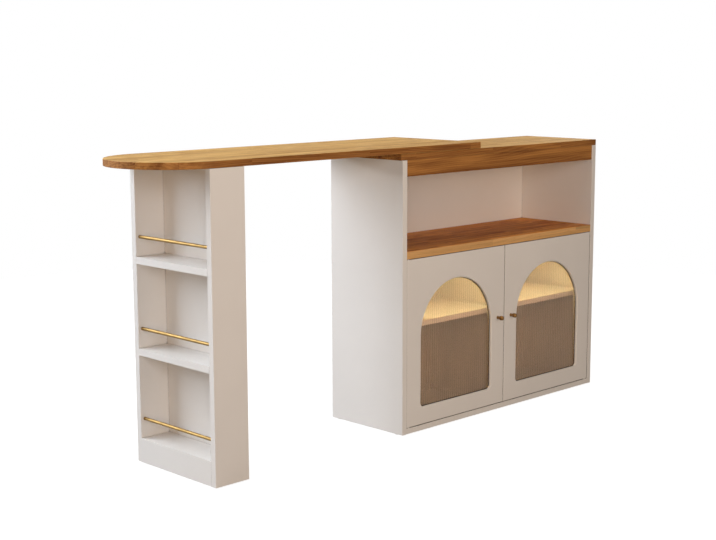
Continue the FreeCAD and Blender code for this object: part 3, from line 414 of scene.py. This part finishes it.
def wood(name, colours, face, edge, stave, shift, contrast):
    """Oiled wood: face and edge hold (light, dark) colours, stave a stave's (length, width)."""
    material, tree, inputs = shader(name, specular_ior_level=0.12)
    figure = use(tree, "wood_figure", stave_length=stave[0], stave_width=stave[1], shift=shift)
    worn = use(tree, "edge_wear", width=0.0012, amount=0.35, scale=40.0)["Mask"]
    settled = use(tree, "dust", amount=0.06, scale=9.0)["Mask"]
    streaks = calculate(tree, "MULTIPLY", figure["Streak"], 0.42 * contrast)
    ringed = calculate(tree, "MULTIPLY_ADD", figure["Rings"], 0.24 * contrast, streaks)
    broad = calculate(tree, "MULTIPLY_ADD", figure["Figure"], 0.48 * contrast, ringed)
    varied = calculate(tree, "MULTIPLY", figure["Stave"], mix_values(tree, figure["Flat"], 0.08, 0.22))
    tone = calculate(tree, "ADD", calculate(tree, "ADD", broad, varied), -0.12, clamp=True)
    # Flat faces, the tops and undersides, take the face colours and all others the edge colours: partly the
    # wood's own tone, partly painted light and sheen on the tops.
    light = mix_colours(tree, figure["Flat"], edge[0], face[0])
    dark = mix_colours(tree, figure["Flat"], edge[1], face[1])
    body = mix_colours(tree, tone, light, dark)
    lines = calculate(tree, "MAXIMUM", calculate(tree, "MULTIPLY", figure["Pores"], 0.30),
                      calculate(tree, "MULTIPLY", figure["Joint"], 0.45))
    pored = mix_colours(tree, lines, body, mix_colours(tree, 1.0, body, colours.wood_pore, "MULTIPLY"))
    rubbed = mix_colours(tree, worn, pored, light)
    dusty = mix_colours(tree, settled, rubbed, colours.wood_dust)
    # Painted shade in gaps and inner corners, from ambient occlusion.
    gaps = use(tree, "crevice", reach=0.008, amount=0.8)["Mask"]
    gloss = calculate(tree, "MULTIPLY_ADD", figure["Streak"], 0.10, 0.50)
    feed(tree, inputs, base_color=mix_colours(tree, gaps, dusty, colours.wood_gap_shade_colour),
         normal=bump(tree, figure["Height"], 0.10, 0.0004),
         roughness=calculate(tree, "MULTIPLY_ADD", figure["Pores"], 0.2, gloss))
    return material


def metal(name, base, along, roughness, tarnish=0.35, wear=0.4):
    """Drawn or plated metal: along holds the line scale per axis, small in the direction of the lines."""
    material, tree, inputs = shader(name, metallic=1.0)
    lines = use(tree, "brushing", along_x=along[0], along_y=along[1], along_z=along[2])
    worn = use(tree, "edge_wear", width=0.0005, amount=wear, scale=160.0)["Mask"]
    toned = mix_colours(tree, calculate(tree, "MULTIPLY", lines["Tarnish"], tarnish), base, shade(base, 0.55))
    bright = mix_colours(tree, worn, toned, shade(base, 1.25, lift=0.05))
    gloss = calculate(tree, "MULTIPLY_ADD", lines["Lines"], 0.14, roughness)
    feed(tree, inputs, base_color=bright, normal=bump(tree, lines["Lines"], 0.08, 0.0001),
         roughness=calculate(tree, "MULTIPLY_ADD", lines["Tarnish"], 0.10, gloss))
    return material


def moulded(name, base, roughness=0.45):
    """Moulded plastic with a fine spark-eroded skin and slightly scuffed edges."""
    material, tree, inputs = shader(name)
    skin = use(tree, "sprayed_skin", scale=1500.0)
    worn = use(tree, "edge_wear", width=0.0004, amount=0.5, scale=200.0)["Mask"]
    cloudy = mix_colours(tree, skin["Cloud"], shade(base, 0.92), base)
    feed(tree, inputs, base_color=mix_colours(tree, worn, cloudy, shade(base, 1.15)),
         normal=bump(tree, skin["Height"], 0.10, 0.0001),
         roughness=calculate(tree, "MULTIPLY_ADD", skin["Cloud"], 0.12, roughness))
    return material


def reeded_glass(name, tint, passed):
    """Tinted glass with wiping marks and painted shade on the flanks of its reeds, whose reeds let only a
    share of the light pass straight in.
    """
    material, tree, inputs = shader(name, ior=1.45, transmission_weight=1.0)
    place = object_place(tree)
    smear = spread(tree, stretched_noise(tree, place, (9.0, 9.0, 4.0), detail=5.0, roughness=0.7), 0.45, 0.75)
    tinted = mix_colours(tree, smear, tint, shade(tint, 0.94))
    # Painted shade: the tint darkens on the steep flanks beside each groove, standing in for the dark lines
    # that the reeds' refraction draws.
    slope = calculate(tree, "ABSOLUTE", object_facing(tree, "X"))
    painted_groove_shade = mix_colours(tree, spread(tree, slope, 0.13, 0.22), tinted, shade(tint, 0.6))
    feed(tree, inputs, base_color=painted_groove_shade, roughness=calculate(tree, "MULTIPLY_ADD", smear, 0.05, 0.03))
    shadow = add(tree, "LightPath")["Is Shadow Ray"]
    scattered = mix_colours(tree, 1.0, tinted, shade((1.0, 1.0, 1.0), passed), "MULTIPLY")
    clear = add(tree, "BsdfTransparent", {"Color": scattered})[0]
    glass = tree.nodes["Principled BSDF"].outputs[0]
    joined = add(tree, "MixShader", {0: shadow, 1: glass, 2: clear})[0]
    tree.links.new(joined, tree.nodes["Material Output"].inputs["Surface"])
    return material


def lamp_lens(name, colours, sizes):
    """Opal lens, brighter in front of each diode."""
    material, tree, inputs = shader(name, base_color=opaque(colours.lens), roughness=0.5,
                                    emission_strength=sizes.lamp_strength)
    along = add(tree, "SeparateXYZ", {0: object_place(tree)})["X"]
    wave = calculate(tree, "COSINE", calculate(tree, "MULTIPLY", along, math.tau / sizes.lamp_pitch))
    spots = spread(tree, wave, -1.0, 1.0)
    feed(tree, inputs, emission_color=mix_colours(tree, spots, shade(colours.glow, 0.8), colours.glow))
    return material


def dress(material, *nodes):
    """Give CAD nodes a finish through their material slots."""
    for name in nodes:
        slots = frame["nodes"][name].material_slots
        if not slots:
            raise RuntimeError(f"{name} has no material slot")
        for entry in slots:
            entry.material = material


# ---------------------------------------------------------------- small fittings

def lathe(mesh, profile, steps, turn=Matrix()):
    """Spin (radius, height) points about Z into a closed skin, and place it by turn."""
    rings = []
    for radius, height in profile:
        if radius == 0:
            rings.append([mesh.verts.new(turn @ Vector((0, 0, height)))])
            continue
        corners = [Vector((radius * math.cos(around), radius * math.sin(around), height))
                   for around in (math.tau * step / steps for step in range(steps))]
        rings.append([mesh.verts.new(turn @ corner) for corner in corners])
    for lower, upper in zip(rings, rings[1:]):
        for step in range(steps):
            after = (step + 1) % steps
            corners = [lower[step % len(lower)], lower[after % len(lower)],
                       upper[after % len(upper)], upper[step % len(upper)]]
            mesh.faces.new(list(dict.fromkeys(corners)))


def piece(name, mesh, material, body):
    """Turn a bmesh into a piece of the counter that rides on a body."""
    bmesh.ops.recalc_face_normals(mesh, faces=mesh.faces)
    data = bpy.data.meshes.new(name)
    mesh.to_mesh(data)
    mesh.free()
    data.materials.append(material)
    made = bpy.data.objects.new(name, data)
    bpy.context.scene.collection.objects.link(made)
    data.polygons.foreach_set("use_smooth", [True] * len(data.polygons))
    data.set_sharp_from_angle(angle=math.radians(35))
    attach(made, body)
    return made


def solids_of(node):
    """The corner points of each separate solid in a CAD node, in the same order on every run."""
    mesh = bmesh.new()
    mesh.from_mesh(frame["nodes"][node].data)
    bmesh.ops.remove_doubles(mesh, verts=mesh.verts, dist=1e-6)
    left = dict.fromkeys(mesh.verts)
    solids = []
    while left:
        found = [left.popitem()[0]]
        for vertex in found:
            for edge in vertex.link_edges:
                other = edge.other_vert(vertex)
                if other in left:
                    del left[other]
                    found.append(other)
        solids.append([vertex.co.copy() for vertex in found])
    mesh.free()
    return solids


def screw_of(points):
    """Where a turned screw's head is: middle of its outer face, way out, head radius, length."""
    low = Vector([min(point[axis] for point in points) for axis in range(3)])
    high = Vector([max(point[axis] for point in points) for axis in range(3)])
    size = high - low
    axis = max(range(3), key=lambda number: size[number])
    middle = (low + high) / 2

    def reach(end):
        offsets = [point - middle for point in points if abs(point[axis] - end) < 1e-5]
        for offset in offsets:
            offset[axis] = 0.0
        return max(offset.length for offset in offsets)

    top = max(low[axis], high[axis], key=reach)
    outward = Vector((0, 0, 0))
    outward[axis] = 1.0 if top == high[axis] else -1.0
    centre = middle.copy()
    centre[axis] = top
    return centre, outward, reach(top), size[axis]


def cross_prism(mesh, span, width, z_low, z_high, taper=0.35):
    """A tapered cross, the shape that a driver bit leaves."""
    outline = [Matrix.Rotation(turn * math.pi / 2, 3, "Z") @ Vector((x, y, 0))
               for turn in range(4)
               for x, y in ((span, -width), (span, width), (width, width))]
    lower = [mesh.verts.new((corner.x * taper, corner.y * taper, z_low)) for corner in outline]
    upper = [mesh.verts.new((corner.x, corner.y, z_high)) for corner in outline]
    mesh.faces.new(lower)
    mesh.faces.new(upper)
    for step in range(len(outline)):
        after = (step + 1) % len(outline)
        mesh.faces.new([lower[step], lower[after], upper[after], upper[step]])


def screw_mesh(radius, total, shank, head, countersunk, recess):
    """One screw along -Z from its head's face at the origin, with a cut cross recess."""
    land = 0.00012
    pitch = 0.0012
    root = shank * 0.80
    if countersunk:
        profile = [(0, 0), (radius * 0.97, 0), (radius, -land), (shank, -(radius - shank) - land)]
    else:
        profile = [(0, 0), (radius * 0.55, -head * 0.06), (radius * 0.86, -head * 0.32),
                   (radius, -head * 0.7), (radius, -head), (shank, -head)]
    depth = -profile[-1][1] + pitch
    while depth < total - 2.5 * pitch:
        profile += [(root, -depth), (shank, -depth - pitch / 2)]
        depth += pitch
    profile += [(root, -depth), (0, -total)]
    mesh = bmesh.new()
    lathe(mesh, profile, 20)
    bmesh.ops.recalc_face_normals(mesh, faces=mesh.faces)
    recess_floor = -head * 0.75 - 0.0003
    above_head = 0.0004
    cutter = bmesh.new()
    cross_prism(cutter, recess / 2, recess * 0.11, recess_floor, above_head)
    bmesh.ops.recalc_face_normals(cutter, faces=cutter.faces)
    return cut(mesh, cutter)


def cut(mesh, cutter):
    """The first mesh less the second, by Blender's exact boolean."""
    objects = []
    for name, source in (("blank", mesh), ("cutter", cutter)):
        data = bpy.data.meshes.new(name)
        source.to_mesh(data)
        source.free()
        made = bpy.data.objects.new(name, data)
        bpy.context.scene.collection.objects.link(made)
        objects.append(made)
    blank, tool = objects
    boolean = blank.modifiers.new("cut", "BOOLEAN")
    boolean.object = tool
    boolean.solver = "EXACT"
    result = blank.evaluated_get(bpy.context.evaluated_depsgraph_get()).to_mesh().copy()
    for made in objects:
        bpy.data.objects.remove(made)
    return result


def stand(centre, outward):
    """The place and turn that put a fitting's +Z along outward at centre."""
    return Matrix.Translation(centre) @ outward.to_track_quat("Z", "Y").to_matrix().to_4x4()


def seal_mesh(low, high, lap, corner, width):
    """A rounded rubber lip round an arched window, on the front of the pane that low and high enclose."""
    half = (high.x - low.x) / 2 - lap
    middle = (low.x + high.x) / 2
    foot = low.z + lap
    # Each bend: the middle of its turn in X and Z, its radius, where it starts and ends, and its steps.
    bends = ((middle, high.z - lap - half, half, 0.0, math.pi, 64),
             (middle - half + corner, foot + corner, corner, math.pi, 1.5 * math.pi, 12),
             (middle + half - corner, foot + corner, corner, 1.5 * math.pi, math.tau, 12))
    # The lip's section in shares of its width: how far inside the window, and how far proud of the pane.
    section = ((0.0, -0.5), (0.0, 0.35), (0.35, 0.5), (0.75, 0.3), (1.0, -0.5))
    mesh = bmesh.new()
    rings = []
    for x, z, radius, start, end, steps in bends:
        for step in range(steps + 1):
            around = start + (end - start) * step / steps
            turn = Vector((x, low.y, z))
            out = Vector((math.cos(around), 0, math.sin(around)))
            rings.append([mesh.verts.new(turn + FRONT * proud * width + out * (radius - inset * width))
                          for inset, proud in section])
    for ring, following in zip(rings, rings[1:] + rings[:1]):
        for step in range(len(section)):
            after = (step + 1) % len(section)
            mesh.faces.new([ring[step], ring[after], following[after], following[step]])
    return mesh


def knob_mesh(radius, reach, foot):
    """A turned knob that swells from a waisted stem into a domed head, with the bore for its screw."""
    # Shares of the head's radius and of the knob's reach.
    bore = [(0, 0.56), (0.28, 0.56), (0.28, 0.0)]
    stem = [(0.70, 0.0), (0.74, 0.016), (0.74, 0.055), (0.65, 0.10), (0.61, 0.19), (0.66, 0.29), (0.82, 0.40)]
    head = [(0.94, 0.49), (1.0, 0.59), (1.0, 0.78), (0.95, 0.87), (0.80, 0.945), (0.56, 0.985), (0.28, 0.998),
            (0, 1.0)]
    mesh = bmesh.new()
    lathe(mesh, [(wide * radius, out * reach) for wide, out in bore + stem + head], 40, stand(foot, FRONT))
    return mesh


# ---------------------------------------------------------------- the counter's pieces

class CounterOperator(bpy.types.Operator):
    """What the operators share."""

    bl_options = {"REGISTER", "UNDO"}

    @property
    def colours(self):
        return bpy.context.scene.counter_colours

    @property
    def sizes(self):
        return bpy.context.scene.counter_sizes

    @property
    def stage(self):
        return bpy.context.scene.counter_stage

    def steel(self, name, roughness):
        """Zinc-plated steel, with a fine grain the same every way."""
        return metal(name, self.colours.steel, (300.0,) * 3, roughness)

    def drive_screws(self, node, body, material, *, shank, head, countersunk=False):
        """Replace a node of plain screws by screws with recessed heads and cut threads, none turned alike."""
        spin_between = 1.1
        joined = bmesh.new()
        blanks = {}
        for number, points in enumerate(solids_of(node)):
            centre, outward, radius, total = screw_of(points)
            size = round(total, 4)
            if size not in blanks:
                blanks[size] = screw_mesh(radius, total, shank, head, countersunk, self.sizes.screw_recess)
            data = blanks[size].copy()
            data.transform(stand(centre, outward) @ Matrix.Rotation(number * spin_between, 4, "Z"))
            joined.from_mesh(data)
            bpy.data.meshes.remove(data)
        made = piece(node.replace("screw", "driven_screw"), joined, material, body)
        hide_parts(node)


class COUNTER_OT_effects(CounterOperator):
    """Build the effects that the finishes share, from worn edges to wood figure"""

    bl_idname = "counter.effects"
    bl_label = "Shared Effects"

    def execute(self, context):
        for make in (make_edge_wear, make_dust, make_painted_crevice_shade, make_sprayed_skin, make_wood_figure,
                     make_brushing):
            make()
        return {"FINISHED"}


class COUNTER_OT_boards(CounterOperator):
    """Lacquer the carcass, the shelves, the doors and the tower"""

    bl_idname = "counter.boards"
    bl_label = "Lacquered Boards"

    def execute(self, context):
        boards = lacquer("board_lacquer", self.colours, self.sizes)
        dress(boards, "left_side", "right_side", "bottom_panel", "back_panel", "centre_divider",
              "rear_stretcher", "tower_front_side", "tower_rear_side", "tower_back", "tower_plinth",
              "tower_bottom_shelf", "tower_middle_shelf", "tower_upper_shelf")
        banded = lacquer("shelf_lacquer", self.colours, self.sizes, banding=self.colours.banding)
        dress(banded, "left_inner_shelf", "right_inner_shelf")
        doors = lacquer("door_lacquer", self.colours, self.sizes, wear=0.8)
        dress(doors, "left_door_panel", "right_door_panel", "left_glass_bead", "right_glass_bead")
        return {"FINISHED"}


class COUNTER_OT_woodwork(CounterOperator):
    """Finish the sliding top, the cabinet's top, its fascia and the niche shelf in wood"""

    bl_idname = "counter.woodwork"
    bl_label = "Woodwork"

    def execute(self, context):
        hues = self.colours
        top = (hues.top_light, hues.top_dark)
        edge = (hues.edge_light, hues.edge_dark)
        shelf = (hues.shelf_light, hues.shelf_dark)
        banding = (hues.niche_edge, shade(hues.niche_edge, 0.62))
        staves = (self.sizes.stave_length, self.sizes.stave_width)
        unglued = (4.0, 0.5)     # longer and wider than any board, so no joint shows
        for name, face, rim, stave, shift, contrast, nodes in (
                ("table_wood", top, edge, staves, 0.013, 1.0, ["table_top"]),
                ("cabinet_top_wood", top, edge, staves, 0.211, 1.0, ["lower_top"]),
                ("fascia_wood", edge, edge, unglued, 0.36, 1.0, ["fascia"]),
                ("niche_wood", shelf, banding, staves, 0.529, 1.0, ["niche_shelf"]),
                ("dowel_beech", shelf, shelf, unglued, 0.1, 0.6, ["carcass_dowels", "tower_dowels"])):
            dress(wood(name, hues, face, rim, stave, shift, contrast), *nodes)
        return {"FINISHED"}


class COUNTER_OT_panes(CounterOperator):
    """Glaze both doors with tinted reeded glass, held in dark rubber seals whose dark also stands in for the
    shadow line at each window's edge
    """

    bl_idname = "counter.panes"
    bl_label = "Reeded Panes"

    def execute(self, context):
        sizes = self.sizes
        dress(reeded_glass("reeded_pane", self.colours.glass, sizes.light_passed), "left_door_glass",
              "right_door_glass")
        # The seal's near-black is partly the rubber's own colour and partly painted shadow along the window's
        # edge.
        rubber = moulded("seal_rubber", self.colours.seal, 0.6)
        for door in ("left_door", "right_door"):
            low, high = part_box(door + "_glass")
            lip = seal_mesh(low, high, sizes.pane_lap, sizes.window_corner, sizes.seal_width)
            piece(door + "_pane_seal", lip, rubber, door)
        return {"FINISHED"}


class COUNTER_OT_lamps(CounterOperator):
    """Light the cupboards with diode lamps in aluminium channels"""

    bl_idname = "counter.lamps"
    bl_label = "Cupboard Lamps"

    def execute(self, context):
        dress(lamp_lens("lamp_lens", self.colours, self.sizes), "left_light_lens", "right_light_lens")
        channel = metal("channel_aluminium", self.colours.aluminium, (20.0, 900.0, 900.0), 0.30, tarnish=0.15)
        dress(channel, "left_light_channel", "right_light_channel")
        return {"FINISHED"}


class COUNTER_OT_brasswork(CounterOperator):
    """Polish the three shelf rails, and turn and tone the two door knobs"""

    bl_idname = "counter.brasswork"
    bl_label = "Brasswork"

    def execute(self, context):
        rails = metal("rail_brass", self.colours.brass, (1200.0, 25.0, 1200.0), 0.36)
        dress(rails, "lower_rail", "middle_rail", "upper_rail")
        aged = metal("knob_brass", self.colours.brass_aged, (900.0,) * 3, 0.24, tarnish=0.6, wear=0.7)
        for side in ("left", "right"):
            low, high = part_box(side + "_knob")
            foot = Vector(((low.x + high.x) / 2, high.y, (low.z + high.z) / 2))
            made = piece(side + "_turned_knob", knob_mesh((high.x - low.x) / 2, high.y - low.y, foot), aged,
                         side + "_door")
            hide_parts(side + "_knob")
        return {"FINISHED"}


class COUNTER_OT_door_fittings(CounterOperator):
    """Finish the pivots, catches and strike plates, and drive the knob screws"""

    bl_idname = "counter.door_fittings"
    bl_label = "Door Fittings"

    def execute(self, context):
        steel = self.steel("fitting_steel", 0.28)
        dress(steel, "left_pivot_plates", "right_pivot_plates", "pivot_pins", "left_strike_plate",
              "right_strike_plate", "shelf_pins", "cam_fittings")
        dress(moulded("fitting_nylon", self.colours.nylon), "pivot_washers", "magnet_catches", "foot_glides")
        for side in ("left", "right"):
            self.drive_screws(side + "_knob_screw", side + "_door", steel, shank=0.002, head=0.0025)
        return {"FINISHED"}


class COUNTER_OT_sliding_gear(CounterOperator):
    """Finish the tracks, stops and slide blocks under the sliding top, with their screws"""

    bl_idname = "counter.sliding_gear"
    bl_label = "Sliding Gear"

    def execute(self, context):
        track = metal("track_aluminium", self.colours.aluminium, (15.0, 900.0, 900.0), 0.28, tarnish=0.2)
        dress(track, "front_track", "rear_track")
        dress(moulded("slide_nylon", self.colours.nylon), "slide_blocks", "track_stops")
        steel = self.steel("gear_screw_steel", 0.26)
        for node, body in (("slide_screws", "cabinet"), ("track_screws", "table")):
            self.drive_screws(node, body, steel, shank=0.00175, head=0.00175, countersunk=True)
        return {"FINISHED"}


class COUNTER_OT_tower_fittings(CounterOperator):
    """Finish the tower's brackets and casters, and drive their screws"""

    bl_idname = "counter.tower_fittings"
    bl_label = "Tower Fittings"

    def execute(self, context):
        steel = self.steel("bracket_steel", 0.30)
        dress(steel, "tower_brackets", "caster_forks", "caster_axles")
        dress(moulded("wheel_nylon", shade(self.colours.nylon, 0.55), 0.5), "front_wheel", "rear_wheel")
        self.drive_screws("tower_screws", "table", steel, shank=0.00175, head=0.002)
        return {"FINISHED"}


class COUNTER_OT_back_brads(CounterOperator):
    """Nail the back panel round its edge"""

    bl_idname = "counter.back_brads"
    bl_label = "Back Panel Brads"

    def execute(self, context):
        low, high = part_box("back_panel")
        inset = self.sizes.brad_inset
        top = high.z - self.sizes.brad_top_inset
        across = self.row(low.x + inset, high.x - inset)
        upward = self.row(low.z + inset, high.z - inset)
        places = [(x, z) for x in across for z in (low.z + inset, top)]
        places += [(x, z) for z in upward for x in (low.x + inset, high.x - inset)]
        radius = self.sizes.brad_diameter / 2
        sunk = -0.0002
        head = [(radius * 0.4, sunk), (radius, sunk), (radius, 0.00015), (radius * 0.6, 0.0004), (0, 0.00045)]
        mesh = bmesh.new()
        for x, z in sorted(set((round(x, 4), round(z, 4)) for x, z in places)):
            lathe(mesh, head, 12, stand(Vector((x, high.y, z)), -FRONT))
        piece("back_brads", mesh, self.steel("brad_steel", 0.35), "cabinet")
        return {"FINISHED"}

    def row(self, start, end):
        """Even places from start to end, about one spacing apart."""
        count = round((end - start) / self.sizes.brad_spacing)
        return [start + (end - start) * number / count for number in range(count + 1)]


# The soft lights: name, place, what each is turned to, and its width and height, in metres.
SOFT_LIGHTS = (
    ("window", (-2.7, 2.5, 2.6), (-0.2, 0.0, 0.5), (3.4, 3.0)),
    ("fill", (-2.8, -3.4, 1.6), (0.0, 0.0, 0.6), (2.0, 1.4)),
    ("low", (-3.4, -2.6, 0.9), (0.0, 0.0, 0.5), (1.6, 1.0)),
    ("near", (0.2, -2.6, 0.95), (0.35, 0.0, 0.65), (1.6, 0.8)),
    ("top", (0.0, 0.0, 4.0), (0.0, 0.0, 0.0), (4.0, 3.0)),
    ("side", (3.8, 0.9, 2.4), (0.3, 0.0, 0.5), (1.6, 1.6)),
)


class COUNTER_OT_stage(CounterOperator):
    """Set up the floor, the soft studio light, the white surroundings and the camera"""

    bl_idname = "counter.stage"
    bl_label = "Studio"

    def execute(self, context):
        stage = self.stage
        scene = context.scene
        scene.view_settings.view_transform = "Standard"
        self.floor(stage)
        self.room(scene)
        self.lamps(stage)
        camera = bpy.data.objects.new("camera", bpy.data.cameras.new("camera"))
        scene.collection.objects.link(camera)
        camera.data.sensor_width = 36.0
        camera.data.lens = stage.camera_lens
        camera.data.clip_end = 100.0
        camera.matrix_world = (
            Matrix.Translation(stage.camera_place)
            @ Matrix.Rotation(-stage.camera_turn, 4, "Z")
            @ Matrix.Rotation(math.pi / 2 + stage.camera_tilt, 4, "X")
            @ Matrix.Rotation(stage.camera_roll, 4, "Z"))
        scene.camera = camera
        return {"FINISHED"}

    def seen(self, tree):
        """1 for what is looked at, also through glass, less for reflections, and 0 for what lights pieces."""
        path = add(tree, "LightPath")
        unscattered = calculate(tree, "LESS_THAN", path["Diffuse Depth"], 0.5)
        through = calculate(tree, "MULTIPLY", path["Is Transmission Ray"], unscattered)
        direct = calculate(tree, "MAXIMUM", path["Is Camera Ray"], through)
        mirrored = calculate(tree, "MULTIPLY", path["Is Glossy Ray"], self.stage.surroundings)
        return calculate(tree, "MAXIMUM", direct, mirrored)

    def floor(self, stage):
        """A white floor that darkens only where the counter keeps the light off it."""
        mesh = bmesh.new()
        bmesh.ops.create_circle(mesh, cap_ends=True, segments=96, radius=stage.floor_size / 2)
        data = bpy.data.meshes.new("floor")
        mesh.to_mesh(data)
        mesh.free()
        floor = bpy.data.objects.new("floor", data)
        bpy.context.scene.collection.objects.link(floor)
        floor.location.z = -stage.floor_drop
        material, tree, inputs = shader("floor_paper", base_color=opaque(stage.floor_colour), roughness=0.9)
        feed(tree, inputs, normal=bump(tree, noise(tree, 60.0, 4.0), 0.03, 0.001))
        strength = calculate(tree, "MULTIPLY", self.seen(tree), stage.floor_glow)
        glow = add(tree, "Emission", {"Color": (1, 1, 1, 1), "Strength": strength})[0]
        paper = add(tree, "AddShader", {0: tree.nodes["Principled BSDF"].outputs[0], 1: glow})[0]
        tree.links.new(paper, tree.nodes["Material Output"].inputs["Surface"])
        data.materials.append(material)

    def room(self, scene):
        """White to look at, and dark as a light."""
        world = bpy.data.worlds.new("studio")
        world.use_nodes = True
        tree = world.node_tree
        tree.links.new(self.seen(tree), tree.nodes["Background"].inputs["Strength"])
        tree.nodes["Background"].inputs["Color"].default_value = (1.0, 1.0, 1.0, 1.0)
        scene.world = world

    def lamps(self, stage):
        """The key light and the soft lights, each turned to what it lights."""
        sun = bpy.data.lights.new("key", "SUN")
        sun.energy = stage.key_strength
        sun.color = stage.key_colour
        sun.angle = stage.key_softness
        key = bpy.data.objects.new("key", sun)
        level = math.cos(stage.key_height)
        travel = Vector((math.sin(stage.key_turn) * level, -math.cos(stage.key_turn) * level,
                         -math.sin(stage.key_height)))
        key.rotation_euler = travel.to_track_quat("-Z", "Y").to_euler()
        bpy.context.scene.collection.objects.link(key)
        for name, place, aim, size in SOFT_LIGHTS:
            soft = bpy.data.lights.new(name, "AREA")
            soft.shape = "RECTANGLE"
            soft.size, soft.size_y = size
            soft.energy = getattr(stage, name + "_power")
            soft.color = getattr(stage, name + "_colour")
            lamp = bpy.data.objects.new(name, soft)
            lamp.location = place
            lamp.rotation_euler = (Vector(aim) - lamp.location).to_track_quat("-Z", "Y").to_euler()
            bpy.context.scene.collection.objects.link(lamp)


class COUNTER_PT_panel(bpy.types.Panel):
    """Lists the counter's operators and settings."""

    bl_label = "Bar Counter"
    bl_space_type = "VIEW_3D"
    bl_region_type = "UI"
    bl_category = "Counter"

    def draw(self, context):
        for operator in OPERATORS:
            self.layout.operator(operator.bl_idname)
        for name in SETTINGS:
            settings = getattr(context.scene, name)
            for label in settings.__annotations__:
                self.layout.prop(settings, label)


OPERATORS = (COUNTER_OT_effects, COUNTER_OT_boards, COUNTER_OT_woodwork, COUNTER_OT_panes, COUNTER_OT_lamps,
             COUNTER_OT_brasswork, COUNTER_OT_door_fittings, COUNTER_OT_sliding_gear,
             COUNTER_OT_tower_fittings, COUNTER_OT_back_brads, COUNTER_OT_stage)
SETTINGS = {"counter_colours": CounterColours, "counter_sizes": CounterSizes, "counter_stage": CounterStage}


def register():
    for group in (*SETTINGS.values(), *OPERATORS, COUNTER_PT_panel):
        bpy.utils.register_class(group)
    for name, group in SETTINGS.items():
        setattr(bpy.types.Scene, name, PointerProperty(type=group))


def unregister():
    for name in SETTINGS:
        delattr(bpy.types.Scene, name)
    for group in reversed((*SETTINGS.values(), *OPERATORS, COUNTER_PT_panel)):
        bpy.utils.unregister_class(group)


def main():
    """Make everything in order."""
    register()
    for operator in OPERATORS:
        family, name = operator.bl_idname.split(".")
        getattr(getattr(bpy.ops, family), name)()


if __name__ == "__main__":
    main()
